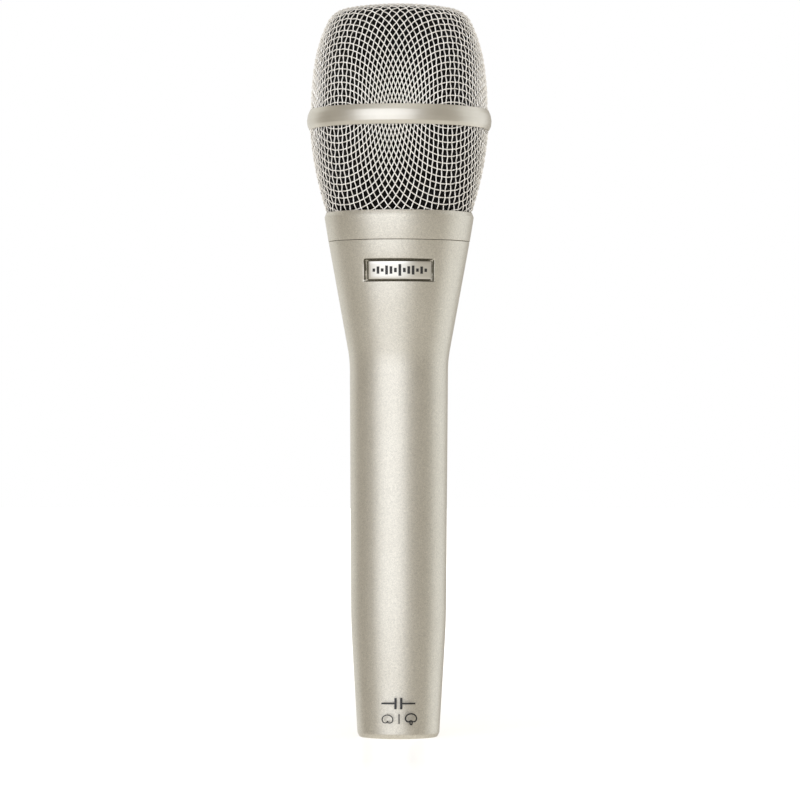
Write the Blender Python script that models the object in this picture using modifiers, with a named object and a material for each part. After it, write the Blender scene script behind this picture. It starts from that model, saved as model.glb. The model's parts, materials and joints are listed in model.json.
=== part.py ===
"""Handheld stage condenser microphone, standing on its connector end.

Metres, +Z up along the body towards the grille. The origin is on the axis at the connector end's face,
and the badge faces -Y. Profiles and sizes below are in millimetres, and MM turns them into metres.
"""

import math

import bmesh
import bpy
from mathutils import Vector

MM = 0.001

# Driving dimensions, in millimetres.
SEGMENTS = 32  # facets round the large turned pieces
INNER_SEGMENTS = 24  # facets round the pieces inside them
SMALL_SEGMENTS = 12  # facets round pins, screws and capacitors
GAP = 0.3  # clearance between pieces that touch on the real object
WELD = 0.00001  # metres, well under the smallest feature

SHOULDER_Z = 129.0  # top face of the handle, where the grille's collar lands
SHOULDER_R = 18.42
CONE_FOOT_Z, CONE_FOOT_R = 103.3, 13.75  # where the handle's flare becomes a straight cone
TAIL_FACE_R = 9.8
SOCKET_R = 8.15  # round cavity of a 3-pin audio connector
SOCKET_DEPTH = 13.5
INSERT_POCKET_R = 9.25
PIN_CIRCLE_R = 3.96
PIN_R = 1.2
PIN_TIP_Z = 1.5
SET_SCREW_Z = 17.2

NECK_TOP_Z = 137.0
NECK_THREAD_R, NECK_ROOT_R = 17.0, 16.45
THREAD_PITCH = 1.0
THREAD_TURNS = 3
HEAD_PLATE_TOP_Z = 136.4
HEAD_SCREW_CIRCLE_R = 11.6
HEAD_SCREW_ANGLES = (90, 210, 330)

COLLAR_TOP_Z = 136.6
LOWER_MESH_Z, LOWER_MESH_R = 136.9, 18.95  # lower edge of the woven bowl
BOWL_TOP_R, BOWL_BEND = 23.2, 90.0  # the bowl's upper edge, and the radius of its shallow arc
BAND_LOW_Z, BAND_TOP_Z = 158.3, 163.5
BAND_R, BAND_LIP_R = 24.125, 23.2
BAND_BORE_R = 21.6
EQUATOR_Z, EQUATOR_R = 163.85, 22.98  # lower edge of the dome
DOME_ARCS = ((82.0, 8.0), (37.0, 18.3), (5.95, 54.0))  # radius and sweep in degrees, from the edge up
MESH_THICKNESS = 0.9
LINING_THICKNESS = 0.4
FOAM_THICKNESS = 2.2

CAPSULE_R = 14.0
CAPSULE_FLOOR_Z = 145.0
BOARD_HALF_WIDTH = 7.75
BOARD_LOW_Z, BOARD_TOP_Z = 38.0, 112.0
BOARD_FACE_Y = -0.8
BOARD_SCREW_HEIGHTS = (46.0, 104.0)
LEAD_R = 0.45

BADGE_LOW_Z, BADGE_TOP_Z = 118.25, 124.15
BADGE_HALF_ANGLE = 32.4  # degrees either side of the front
BADGE_RECESS_DEPTH = 1.0

MATERIALS = {
    "champagne_paint": ((0.60, 0.57, 0.48), 0.42, 0.75),
    "champagne_ring": ((0.66, 0.63, 0.55), 0.30, 0.90),
    "badge_metal": ((0.72, 0.69, 0.60), 0.28, 0.95),
    "mesh_wire": ((0.80, 0.77, 0.70), 0.30, 1.00),
    "lining_wire": ((0.30, 0.28, 0.24), 0.45, 0.90),
    "dark_foam": ((0.03, 0.03, 0.03), 0.95, 0.00),
    "black_rubber": ((0.03, 0.03, 0.03), 0.80, 0.00),
    "nickel": ((0.62, 0.60, 0.56), 0.30, 1.00),
    "black_steel": ((0.08, 0.08, 0.08), 0.40, 0.80),
    "black_plastic": ((0.04, 0.04, 0.04), 0.50, 0.00),
    "white_plastic": ((0.75, 0.74, 0.70), 0.45, 0.00),
    "gold_contact": ((0.83, 0.62, 0.25), 0.25, 1.00),
    "gold_film": ((0.90, 0.72, 0.35), 0.15, 1.00),
    "brass": ((0.75, 0.58, 0.30), 0.30, 1.00),
    "green_board": ((0.05, 0.22, 0.10), 0.50, 0.00),
    "red_film": ((0.50, 0.08, 0.05), 0.40, 0.00),
    "capacitor_sleeve": ((0.05, 0.06, 0.12), 0.35, 0.00),
    "cable_red": ((0.55, 0.04, 0.03), 0.50, 0.00),
    "cable_black": ((0.03, 0.03, 0.03), 0.50, 0.00),
    "cable_white": ((0.75, 0.75, 0.72), 0.50, 0.00),
}


def clear_scene():
    for obj in list(bpy.data.objects):
        bpy.data.objects.remove(obj, do_unlink=True)


clear_scene()
parts = bpy.data.collections.new("stage_microphone")
cutters = bpy.data.collections.new("cutters")
bpy.context.scene.collection.children.link(parts)
bpy.context.scene.collection.children.link(cutters)


# ---------------------------------------------------------------- materials and helpers


def material(name):
    """The Principled material of this name, made the first time it is asked for."""
    made = bpy.data.materials.get(name)
    if made:
        return made
    colour, roughness, metallic = MATERIALS[name]
    made = bpy.data.materials.new(name)
    made.use_nodes = True
    shader = made.node_tree.nodes["Principled BSDF"]
    shader.inputs["Base Color"].default_value = (*colour, 1.0)
    shader.inputs["Roughness"].default_value = roughness
    shader.inputs["Metallic"].default_value = metallic
    made.diffuse_color = (*colour, 1.0)
    return made


def add_part(name, data, finish):
    obj = bpy.data.objects.new(name, data)
    parts.objects.link(obj)
    if finish:
        data.materials.append(material(finish))
    return obj


def as_cutter(obj):
    """Turns an object into a hidden helper that only Boolean modifiers see."""
    parts.objects.unlink(obj)
    cutters.objects.link(obj)
    obj.hide_render = True
    obj.display_type = "WIRE"
    return obj


def cut(obj, *tools):
    for tool in tools:
        boolean = obj.modifiers.new(tool.name, "BOOLEAN")
        boolean.operation = "DIFFERENCE"
        boolean.solver = "EXACT"
        boolean.object = as_cutter(tool)
    return obj


def smooth(mesh):
    mesh.shade_smooth()
    mesh.set_sharp_from_angle(angle=math.radians(35))


def profile_mesh(name, profile, closed):
    """An edge loop in the XZ plane from (radius, height) pairs in millimetres."""
    mesh = bpy.data.meshes.new(name)
    points = [(r * MM, 0.0, z * MM) for r, z in profile]
    edges = [(i, i + 1) for i in range(len(points) - 1)]
    if closed:
        edges.append((len(points) - 1, 0))
    mesh.from_pydata(points, edges, [])
    return mesh


def turned(name, profile, finish, segments=SEGMENTS, centre=(0.0, 0.0), closed=True):
    """A turned piece on a vertical axis. A ring's profile runs down its outer side and up its bore."""
    obj = add_part(name, profile_mesh(name, profile, closed), finish)
    obj.location = (centre[0] * MM, centre[1] * MM, 0.0)
    screw = obj.modifiers.new("Turn", "SCREW")
    screw.axis = "Z"
    screw.angle = math.tau
    screw.steps = screw.render_steps = segments
    screw.use_merge_vertices = True
    screw.merge_threshold = WELD
    screw.use_smooth_shade = True
    return obj


def turned_shell(name, outline, thickness, finish, segments=SEGMENTS):
    """A turned open sheet, thickened inwards."""
    obj = turned(name, outline, finish, segments, closed=False)
    solidify = obj.modifiers.new("Thickness", "SOLIDIFY")
    solidify.thickness = thickness * MM
    solidify.offset = -1.0
    return obj


def box(name, low, high, finish, bevel=0.0):
    """A box between two corners in millimetres, with bevelled edges where bevel is given."""
    mesh = bpy.data.meshes.new(name)
    shape = bmesh.new()
    bmesh.ops.create_cube(shape, size=1.0)
    size = Vector(high) - Vector(low)
    bmesh.ops.scale(shape, verts=shape.verts, vec=size * MM)
    shape.to_mesh(mesh)
    shape.free()
    obj = add_part(name, mesh, finish)
    obj.location = (Vector(low) + Vector(high)) * 0.5 * MM
    if bevel:
        rounding = obj.modifiers.new("Bevel", "BEVEL")
        rounding.width = bevel * MM
        rounding.segments = 1
    return obj


def cylinder(name, radius, start, end, finish, sides=SMALL_SEGMENTS):
    """A straight cylinder between two points in millimetres."""
    mesh = bpy.data.meshes.new(name)
    shape = bmesh.new()
    axis = Vector(end) - Vector(start)
    bmesh.ops.create_cone(
        shape, cap_ends=True, segments=sides, radius1=radius * MM, radius2=radius * MM,
        depth=axis.length * MM,
    )
    shape.to_mesh(mesh)
    shape.free()
    smooth(mesh)
    obj = add_part(name, mesh, finish)
    obj.rotation_euler = axis.to_track_quat("Z", "Y").to_euler()
    obj.location = (Vector(start) + Vector(end)) * 0.5 * MM
    return obj


def wire(name, points, radius, finish):
    """A round wire along points in millimetres."""
    curve = bpy.data.curves.new(name, "CURVE")
    curve.dimensions = "3D"
    curve.bevel_depth = radius * MM
    curve.bevel_resolution = 2
    curve.use_fill_caps = True
    spline = curve.splines.new("POLY")
    spline.points.add(len(points) - 1)
    for target, point in zip(spline.points, points):
        target.co = (*(Vector(point) * MM), 1.0)
    return add_part(name, curve, finish)


def eased(start, end, count=6):
    """Points from start to end that leave and arrive vertically."""
    found = []
    for step in range(count + 1):
        t = step / count
        sideways = t * t * (3 - 2 * t)
        found.append((
            start[0] + (end[0] - start[0]) * sideways,
            start[1] + (end[1] - start[1]) * sideways,
            start[2] + (end[2] - start[2]) * t,
        ))
    return found


# ---------------------------------------------------------------- outlines


def arc(centre, radius, first, last, count):
    """Points on a circle in the (radius, height) plane, by angle in degrees."""
    angles = [math.radians(first + (last - first) * i / count) for i in range(count + 1)]
    return [(centre[0] + radius * math.cos(a), centre[1] + radius * math.sin(a)) for a in angles]


def dome_outline():
    """The upper woven mesh, from the crown down to its lower edge, as tangent arcs."""
    radius, height, turn = EQUATOR_R, EQUATOR_Z, 0.0
    points = [(radius, height)]
    for (bend, sweep), count in zip(DOME_ARCS, (3, 2, 4)):
        centre = (
            radius - bend * math.cos(math.radians(turn)),
            height - bend * math.sin(math.radians(turn)),
        )
        points += arc(centre, bend, turn, turn + sweep, count)[1:]
        turn += sweep
        radius, height = points[-1]
    crown_bend = radius / math.cos(math.radians(turn))
    crown_centre = (0.0, height - crown_bend * math.sin(math.radians(turn)))
    points += arc(crown_centre, crown_bend, turn, 90.0, 2)[1:-1]
    points.append((0.0, crown_centre[1] + crown_bend))
    return points[::-1]


def bowl_outline():
    """The lower woven mesh, from the band down to the collar, as one shallow arc."""
    low = Vector((LOWER_MESH_R, LOWER_MESH_Z))
    high = Vector((BOWL_TOP_R, BAND_LOW_Z - GAP))
    middle = (low + high) / 2
    half = (high - low).length / 2
    towards_axis = Vector((-(high - low).y, (high - low).x)).normalized()
    centre = middle + towards_axis * math.sqrt(BOWL_BEND**2 - half**2)
    first = math.degrees(math.atan2(high.y - centre.y, high.x - centre.x))
    last = math.degrees(math.atan2(low.y - centre.y, low.x - centre.x))
    return arc(centre, BOWL_BEND, first, last, 5)


def coarser(outline):
    """Every second point of an outline, with both of its ends."""
    return outline[:-1:2] + outline[-1:]


def inset(outline, distance):
    """The outline moved towards the inside by a distance along its normals, top to bottom."""
    moved = []
    for i, (r, z) in enumerate(outline):
        before = Vector(outline[max(i - 1, 0)])
        after = Vector(outline[min(i + 1, len(outline) - 1)])
        along = (after - before).normalized()
        inward = Vector((along.y, -along.x))
        if r == 0.0:
            inward = Vector((0.0, -1.0))
        moved.append((max(r + inward.x * distance, 0.0), z + inward.y * distance))
    return moved


def cone_radius(z):
    """Outside radius of the handle's straight cone at a height."""
    slope = (SHOULDER_R - CONE_FOOT_R) / (SHOULDER_Z - CONE_FOOT_Z)
    return CONE_FOOT_R + slope * (z - CONE_FOOT_Z)


# ---------------------------------------------------------------- handle


def handle_shell():
    outer = [
        (SHOULDER_R - 0.3, SHOULDER_Z), (SHOULDER_R, SHOULDER_Z - 0.25),
        (cone_radius(116.0), 116.0), (CONE_FOOT_R, CONE_FOOT_Z),
        (13.28, 100.7), (12.95, 98.0), (12.82, 94.5), (12.66, 72.0), (12.4, 30.0),
        (11.55, 14.3), (10.9, 4.2), (10.72, 1.3), (10.4, 0.4), (TAIL_FACE_R, 0.0),
    ]
    bore = [
        (SOCKET_R + 0.35, 0.0), (SOCKET_R, 0.4), (SOCKET_R, SOCKET_DEPTH),
        (INSERT_POCKET_R, SOCKET_DEPTH), (INSERT_POCKET_R, 21.0), (11.0, 29.0), (11.3, 95.0),
        (12.1, 103.3), (14.1, 117.0), (14.1, 125.0), (15.9, 125.0), (15.9, SHOULDER_Z),
    ]
    shell = turned("handle_shell", outer + bore, "champagne_paint")
    recess = cone_patch(
        "badge_recess", BADGE_HALF_ANGLE, BADGE_LOW_Z, BADGE_TOP_Z, -BADGE_RECESS_DEPTH, 2.0, None
    )
    screw_hole = cylinder(
        "set_screw_hole", 1.55, (0, 7.0, SET_SCREW_Z), (0, 14.0, SET_SCREW_Z), None
    )
    key_slot = box("key_slot", (-1.3, 7.4, -1.0), (1.3, SOCKET_R + 1.1, 12.0), None)
    return cut(shell, recess, screw_hole, key_slot)


def cone_patch(name, half_angle, low_z, high_z, offset, thickness, finish):
    """A rectangle wrapped round the front of the handle's cone, thickened outwards."""
    mesh = bpy.data.meshes.new(name)
    shape = bmesh.new()
    bmesh.ops.create_grid(shape, x_segments=10, y_segments=1, size=1.0)
    for vertex in shape.verts:
        angle = math.radians(half_angle * vertex.co.x)
        height = low_z + (high_z - low_z) * (vertex.co.y + 1) / 2
        radius = cone_radius(height) + offset
        vertex.co = Vector((radius * math.sin(angle), -radius * math.cos(angle), height)) * MM
    shape.to_mesh(mesh)
    shape.free()
    obj = add_part(name, mesh, finish)
    solidify = obj.modifiers.new("Thickness", "SOLIDIFY")
    solidify.thickness = thickness * MM
    solidify.offset = 1.0
    return obj


def badge_plate():
    side = math.degrees(GAP / cone_radius(BADGE_LOW_Z))
    return cone_patch(
        "badge_plate", BADGE_HALF_ANGLE - side, BADGE_LOW_Z + GAP, BADGE_TOP_Z - GAP,
        GAP - BADGE_RECESS_DEPTH, 0.4, "badge_metal",
    )


def threaded_neck():
    outer = [(NECK_ROOT_R - 0.35, NECK_TOP_Z), (NECK_ROOT_R, NECK_TOP_Z - 0.3)]
    for turn in range(THREAD_TURNS):
        crest = NECK_TOP_Z - 0.8 - turn * THREAD_PITCH
        outer += [(NECK_THREAD_R, crest), (NECK_ROOT_R, crest - THREAD_PITCH / 2)]
    outer += [
        (NECK_ROOT_R, SHOULDER_Z + GAP), (15.6, SHOULDER_Z + GAP), (15.6, 125.3), (14.4, 125.3),
    ]
    bore = [(14.4, 131.8), (9.6, 131.8), (9.6, 134.3), (14.0, 134.3), (14.0, NECK_TOP_Z)]
    neck = turned("threaded_neck", outer + bore, "nickel")
    holes = [
        cylinder(f"neck_hole_{n}", 1.3, (x, y, 131.0), (x, y, 135.0), None, 8)
        for n, (x, y) in enumerate(head_screw_places(), 1)
    ]
    return cut(neck, *holes)


def head_screw_places():
    angles = [math.radians(a) for a in HEAD_SCREW_ANGLES]
    return [(HEAD_SCREW_CIRCLE_R * math.cos(a), HEAD_SCREW_CIRCLE_R * math.sin(a)) for a in angles]


def head_plate():
    low = HEAD_PLATE_TOP_Z - 1.8
    plate = turned(
        "head_plate",
        [(13.6, HEAD_PLATE_TOP_Z), (13.6, low), (3.5, low), (3.5, HEAD_PLATE_TOP_Z)],
        "black_plastic", INNER_SEGMENTS,
    )
    holes = [
        cylinder(f"head_hole_{n}", 1.3, (x, y, 134.0), (x, y, 137.0), None, 8)
        for n, (x, y) in enumerate(head_screw_places(), 1)
    ]
    return cut(plate, *holes)


def screw_with_slot(name, profile, centre, slot_low, slot_high, finish):
    """A turned screw whose head carries a straight driver slot."""
    screw = turned(name, profile, finish, SMALL_SEGMENTS, centre, closed=False)
    x, y = centre
    slot = box(f"{name}_slot", (x - 3, y - 0.3, slot_low), (x + 3, y + 0.3, slot_high), None)
    return cut(screw, slot)


def head_screws():
    seat = HEAD_PLATE_TOP_Z + GAP
    profile = [
        (0.0, seat + 1.3), (1.6, seat + 1.15), (2.1, seat + 0.6), (2.1, seat),
        (1.0, seat), (1.0, 132.4), (0.0, 132.0),
    ]
    for n, place in enumerate(head_screw_places(), 1):
        screw_with_slot(f"head_screw_{n}", profile, place, seat + 0.7, seat + 2.0, "black_steel")


def connector():
    low, high = SOCKET_DEPTH + GAP, 20.5
    radius = INSERT_POCKET_R - GAP
    insert = turned(
        "connector_insert",
        [
            (0.0, high), (radius, high), (radius, 19.2), (8.0, 18.9), (8.0, 15.5), (radius, 15.2),
            (radius, low), (0.0, low),
        ],
        "black_plastic", INNER_SEGMENTS, closed=False,
    )
    places = [(PIN_CIRCLE_R, 0.0), (-PIN_CIRCLE_R, 0.0), (0.0, -PIN_CIRCLE_R)]
    holes = [
        cylinder(f"pin_hole_{n}", PIN_R + GAP, (x, y, low - 1), (x, y, high + 1), None)
        for n, (x, y) in enumerate(places, 1)
    ]
    cut(insert, *holes)
    cup_top, cup_floor = 25.0, 22.6
    for n, place in enumerate(places, 1):
        turned(
            f"pin_{n}",
            [
                (0.0, cup_floor), (0.65, cup_floor), (0.65, cup_top), (PIN_R, cup_top),
                (PIN_R, PIN_TIP_Z + 0.8), (0.7, PIN_TIP_Z), (0.0, PIN_TIP_Z),
            ],
            "gold_contact", SMALL_SEGMENTS, place, closed=False,
        )
        lead_foot = (place[0], place[1], cup_top + GAP)
        lead_head = ((2 - n) * 3.0, -2.4, BOARD_LOW_Z + 0.7)
        finish = ("cable_black", "cable_red", "cable_white")[n - 1]
        wire(f"output_lead_{n}", eased(lead_foot, lead_head), LEAD_R, finish)
    screw = cylinder(
        "insert_set_screw", 1.25, (0, 8.3, SET_SCREW_Z), (0, 11.3, SET_SCREW_Z), "black_steel"
    )
    hexagon = cylinder("set_screw_hex", 0.75, (0, 10.2, SET_SCREW_Z), (0, 12.0, SET_SCREW_Z), None, 6)
    cut(screw, hexagon)


# ---------------------------------------------------------------- electronics


def board():
    """The preamplifier board, upright in the handle, with its component side towards -Y."""
    card = box(
        "preamp_board", (-BOARD_HALF_WIDTH, BOARD_FACE_Y, BOARD_LOW_Z),
        (BOARD_HALF_WIDTH, -BOARD_FACE_Y, BOARD_TOP_Z), "green_board",
    )
    frame_low, frame_top = 36.0, 134.3
    frame_y = (1.1, 3.1)
    frame = box(
        "board_frame", (-8.4, frame_y[0], frame_low), (8.4, frame_y[1], frame_top), "black_plastic"
    )
    windows = [
        box(f"frame_window_{n}", (-6.2, 0.0, low), (6.2, 5.0, high), None)
        for n, (low, high) in enumerate(((50.0, 73.0), (77.0, 100.0), (108.0, 130.0)), 1)
    ]
    for n, z in enumerate(BOARD_SCREW_HEIGHTS, 1):
        cut(card, cylinder(f"board_hole_{n}", 1.3, (0, -3, z), (0, 1.05, z), None, 8))
        windows.append(cylinder(f"frame_hole_{n}", 1.3, (0, 0, z), (0, 4, z), None, 8))
        board_screw(f"board_screw_{n}", z)
    cut(frame, *windows)


def board_screw(name, z):
    """A pan-head screw along +Y whose head bears on the board's face."""
    seat = BOARD_FACE_Y - GAP
    profile = [
        (0.0, 1.2), (1.5, 1.05), (2.0, 0.5), (2.0, 0.0), (1.0, 0.0), (1.0, -3.8), (0.0, -4.0),
    ]
    screw = turned(name, profile, "nickel", SMALL_SEGMENTS, closed=False)
    screw.rotation_euler = (math.radians(90), 0.0, 0.0)
    screw.location = Vector((0.0, seat, z)) * MM
    slot = box(f"{name}_slot", (-3, seat - 2.0, z - 0.3), (3, seat - 0.6, z + 0.3), None)
    return cut(screw, slot)


def components():
    face = BOARD_FACE_Y - GAP
    for n, (x, z, length) in enumerate(((-3.8, 56.0, 5.4), (3.8, 56.0, 5.4), (0.0, 65.5, 7.0)), 1):
        cylinder(
            f"electrolytic_capacitor_{n}", 2.6, (x, face - length, z), (x, face, z),
            "capacitor_sleeve",
        )
    box("film_capacitor", (-5.2, face - 4.4, 72.0), (5.2, face, 79.0), "red_film", 0.4)
    box("amplifier_chip", (-2.5, face - 1.6, 91.0), (2.5, face, 96.0), "black_plastic", 0.15)
    transistor = cylinder(
        "input_transistor", 2.3, (-4.4, face - 2.3, 84.0), (-4.4, face - 2.3, 88.4),
        "black_plastic",
    )
    flat = box("transistor_flat", (-8.0, face - 0.9, 83.0), (-1.0, face + 2.0, 89.0), None)
    cut(transistor, flat)
    box("coupling_inductor", (1.6, face - 3.6, 83.4), (6.0, face, 88.6), "black_plastic", 0.4)
    box("output_header", (-4.6, face - 3.0, 39.4), (4.6, face, 42.6), "white_plastic", 0.2)
    box("capsule_header", (-4.2, face - 3.0, 108.0), (4.2, face, 111.2), "white_plastic", 0.2)


def ground_spring():
    """A bent contact leaf between the board frame and the handle's bore."""
    mesh = bpy.data.meshes.new("ground_spring")
    shape = bmesh.new()
    heights = [80.0 + 1.6 * step for step in range(11)]
    rows = []
    for z in heights:
        t = (z - heights[0]) / (heights[-1] - heights[0])
        reach = 3.5 + 7.1 * math.sin(math.pi * t) ** 0.8
        rows.append([shape.verts.new(Vector((x, reach, z)) * MM) for x in (-1.6, 1.6)])
    for lower, upper in zip(rows, rows[1:]):
        shape.faces.new((lower[0], upper[0], upper[1], lower[1]))
    shape.to_mesh(mesh)
    shape.free()
    spring = add_part("ground_spring", mesh, "brass")
    solidify = spring.modifiers.new("Thickness", "SOLIDIFY")
    solidify.thickness = 0.25 * MM
    solidify.offset = 0.0


# ---------------------------------------------------------------- pattern switch and capsule


def pattern_switch():
    seat = HEAD_PLATE_TOP_Z + GAP
    housing = box("switch_housing", (-3.5, -12.9, seat), (3.5, -9.5, seat + 3.0), "black_plastic")
    slot = box("switch_slot", (-2.1, -11.95, seat + 1.3), (2.1, -10.45, seat + 4.0), None)
    cut(housing, slot)
    slider = box("switch_slider", (-1.8, -11.65, seat + 1.6), (-0.2, -10.75, seat + 4.4), "white_plastic")
    return slider


def ring(name, low, high, inner, outer, finish, segments=INNER_SEGMENTS):
    return turned(name, [(outer, high), (outer, low), (inner, low), (inner, high)], finish, segments)


def capsule():
    floor = CAPSULE_FLOOR_Z
    mount_low, mount_top = HEAD_PLATE_TOP_Z + GAP, floor - GAP
    turned(
        "shock_mount",
        [
            (9.0, mount_top), (9.0, mount_top - 1.0), (6.3, mount_top - 2.0), (7.3, 140.7),
            (6.3, mount_low + 2.0), (9.0, mount_low + 1.0), (9.0, mount_low), (4.2, mount_low),
            (4.2, mount_low + 1.6), (5.0, mount_low + 2.4), (5.9, 140.7), (5.0, mount_top - 2.4),
            (4.2, mount_top - 1.6), (4.2, mount_top),
        ],
        "black_rubber", INNER_SEGMENTS,
    )
    cup_inner = CAPSULE_R - 0.9
    turned(
        "capsule_cradle",
        [
            (CAPSULE_R, floor + 5.0), (CAPSULE_R, floor + 0.5), (CAPSULE_R - 0.5, floor), (4.2, floor),
            (4.2, floor + 1.6), (cup_inner, floor + 1.6), (cup_inner, floor + 5.0),
        ],
        "black_plastic", INNER_SEGMENTS,
    )
    stack_r = cup_inner - GAP
    level = floor + 1.6 + GAP
    layers = [
        ("rear_clamp_ring", 1.2, 10.5, "brass"),
        ("rear_diaphragm", 0.2, 0.9, "gold_film"),
        ("rear_backplate", 2.5, 0.9, "brass"),
        ("insulator_ring", 1.2, 10.8, "white_plastic"),
        ("front_backplate", 2.5, 0.9, "brass"),
        ("front_diaphragm", 0.2, 0.9, "gold_film"),
        ("front_clamp_ring", 1.2, 10.5, "brass"),
    ]
    places = {}
    for name, thickness, inner, finish in layers:
        ring(name, level, level + thickness, inner, stack_r, finish)
        places[name] = (level, level + thickness)
        level += thickness + GAP
    sleeve_top = places["front_clamp_ring"][1]
    ring("capsule_sleeve", floor + 5.0 + GAP, sleeve_top, cup_inner, CAPSULE_R, "nickel")
    terminal_screws(places)
    capsule_grid(sleeve_top + GAP)


def terminal_screws(places):
    """One small screw through each diaphragm's centre into its backplate."""
    front = places["front_diaphragm"][1] + GAP
    front_foot = places["front_backplate"][0] + 0.3
    turned(
        "front_terminal_screw",
        [(0.0, front + 0.8), (1.2, front + 0.7), (1.6, front + 0.3), (1.6, front), (0.6, front),
         (0.6, front_foot), (0.0, front_foot)],
        "gold_contact", SMALL_SEGMENTS, closed=False,
    )
    rear = places["rear_diaphragm"][0] - GAP
    rear_foot = places["rear_backplate"][1] - 0.3
    turned(
        "rear_terminal_screw",
        [(0.0, rear_foot), (0.6, rear_foot), (0.6, rear), (1.6, rear), (1.6, rear - 0.3),
         (1.2, rear - 0.7), (0.0, rear - 0.8)],
        "gold_contact", SMALL_SEGMENTS, closed=False,
    )


def capsule_grid(low):
    """The pierced cap over the front diaphragm."""
    outline = [
        (0.0, low + 4.4), (7.0, low + 3.9), (12.0, low + 2.5), (CAPSULE_R, low + 1.2), (CAPSULE_R, low),
    ]
    grid = turned_shell("capsule_grid", outline, 0.7, "nickel", INNER_SEGMENTS)
    holes = []
    for n in range(6):
        angle = math.tau * n / 6
        x, y = 8.2 * math.cos(angle), 8.2 * math.sin(angle)
        holes.append(cylinder(f"grid_hole_{n}", 2.0, (x, y, low), (x, y, low + 7), None, 8))
    holes.append(cylinder("grid_hole_centre", 2.4, (0, 0, low), (0, 0, low + 7), None, 8))
    return cut(grid, *holes)


def capsule_leads():
    """Three leads from the capsule, through the shock mount and head plate, to the board."""
    for n, finish in enumerate(("cable_red", "cable_white", "cable_black"), 1):
        x = (n - 2) * 1.9
        top = (x, -1.0, CAPSULE_FLOOR_Z - 0.4)
        bend = (x, -1.0, 130.0)
        foot = ((n - 2) * 2.8, -2.6, 111.5)
        wire(f"capsule_lead_{n}", [top, *eased(bend, foot)], LEAD_R, finish)


# ---------------------------------------------------------------- grille


def grille():
    # Landing on the shoulder, a flat ring seals the screwed joint inside the collar's counterbore.
    ring("grille_gasket", SHOULDER_Z + GAP, SHOULDER_Z + 1.3, 16.75, 17.6, "black_rubber", SEGMENTS)
    turned(
        "grille_collar",
        [
            (18.9, COLLAR_TOP_Z), (19.35, 136.25), (19.57, 135.2), (19.4, 133.9),
            (18.62, 130.0), (18.45, SHOULDER_Z + GAP), (17.9, SHOULDER_Z + GAP), (17.9, 130.7),
            (NECK_THREAD_R + 0.35, 130.7), (NECK_THREAD_R + 0.35, COLLAR_TOP_Z),
        ],
        "champagne_paint",
    )
    bowl, dome = bowl_outline(), dome_outline()
    turned_shell("lower_mesh", bowl, MESH_THICKNESS, "mesh_wire")
    turned_shell("upper_mesh", dome, MESH_THICKNESS, "mesh_wire")
    for name, outline in (("lower_lining", bowl), ("upper_lining", dome)):
        turned_shell(
            name, inset(coarser(outline), MESH_THICKNESS + GAP), LINING_THICKNESS, "lining_wire",
            INNER_SEGMENTS,
        )
    half = (BAND_LOW_Z + BAND_TOP_Z) / 2
    side = [
        (BAND_LIP_R, BAND_TOP_Z), (23.8, BAND_TOP_Z - 0.7), (24.05, BAND_TOP_Z - 1.6), (BAND_R, half)
    ]
    mirrored = [(r, 2 * half - z) for r, z in side[-2::-1]]
    turned(
        "grille_band",
        [*side, *mirrored, (BAND_BORE_R, BAND_LOW_Z), (BAND_BORE_R, BAND_TOP_Z)],
        "champagne_ring",
    )


def foam_liner():
    """The open-cell foam bowl that lines both meshes."""
    depth = MESH_THICKNESS + LINING_THICKNESS + 2 * GAP
    dome = inset(coarser(dome_outline()), depth)
    bowl = inset(coarser(bowl_outline()), depth)
    narrow = [(min(r, BAND_BORE_R - GAP), z) for r, z in [*dome, *bowl[1:]]]
    turned_shell("foam_liner", narrow, FOAM_THICKNESS, "dark_foam", INNER_SEGMENTS)


handle_shell()
badge_plate()
threaded_neck()
head_plate()
head_screws()
connector()
board()
components()
ground_spring()
pattern_switch()
capsule()
capsule_leads()
grille()
foam_liner()
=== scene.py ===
import json
import math

import bmesh
import bpy
import numpy as np
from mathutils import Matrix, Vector, noise


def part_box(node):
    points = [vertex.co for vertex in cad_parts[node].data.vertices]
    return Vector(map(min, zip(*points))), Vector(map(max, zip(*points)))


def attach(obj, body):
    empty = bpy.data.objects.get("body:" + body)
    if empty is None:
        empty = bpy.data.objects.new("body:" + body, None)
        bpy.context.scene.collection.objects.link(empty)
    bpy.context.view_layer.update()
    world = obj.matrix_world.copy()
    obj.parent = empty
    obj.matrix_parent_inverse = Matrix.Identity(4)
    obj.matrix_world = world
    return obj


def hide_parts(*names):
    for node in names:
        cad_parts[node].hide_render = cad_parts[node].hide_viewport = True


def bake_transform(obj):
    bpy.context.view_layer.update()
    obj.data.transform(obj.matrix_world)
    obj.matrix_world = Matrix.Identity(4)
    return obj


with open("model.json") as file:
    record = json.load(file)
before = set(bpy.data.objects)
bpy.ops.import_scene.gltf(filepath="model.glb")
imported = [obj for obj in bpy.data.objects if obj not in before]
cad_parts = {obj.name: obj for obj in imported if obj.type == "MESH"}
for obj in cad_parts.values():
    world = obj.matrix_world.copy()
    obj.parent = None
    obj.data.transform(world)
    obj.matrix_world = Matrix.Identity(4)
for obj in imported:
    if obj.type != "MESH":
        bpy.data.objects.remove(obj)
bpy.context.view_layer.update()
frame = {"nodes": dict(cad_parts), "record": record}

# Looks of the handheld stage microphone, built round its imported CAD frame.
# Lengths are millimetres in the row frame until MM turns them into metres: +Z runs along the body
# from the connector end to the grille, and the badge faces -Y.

MM = 0.001
TURN_STEPS = 192  # facets round the large turned pieces
INNER_STEPS = 96  # facets round the pieces inside
SCREW_STEPS = 40
SMALL_STEPS = 32  # facets round pins, terminal screws and small holes
SHARP_ANGLE = math.radians(35)


def low_z(node):
    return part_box(node)[0].z / MM


def top_z(node):
    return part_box(node)[1].z / MM


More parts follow.
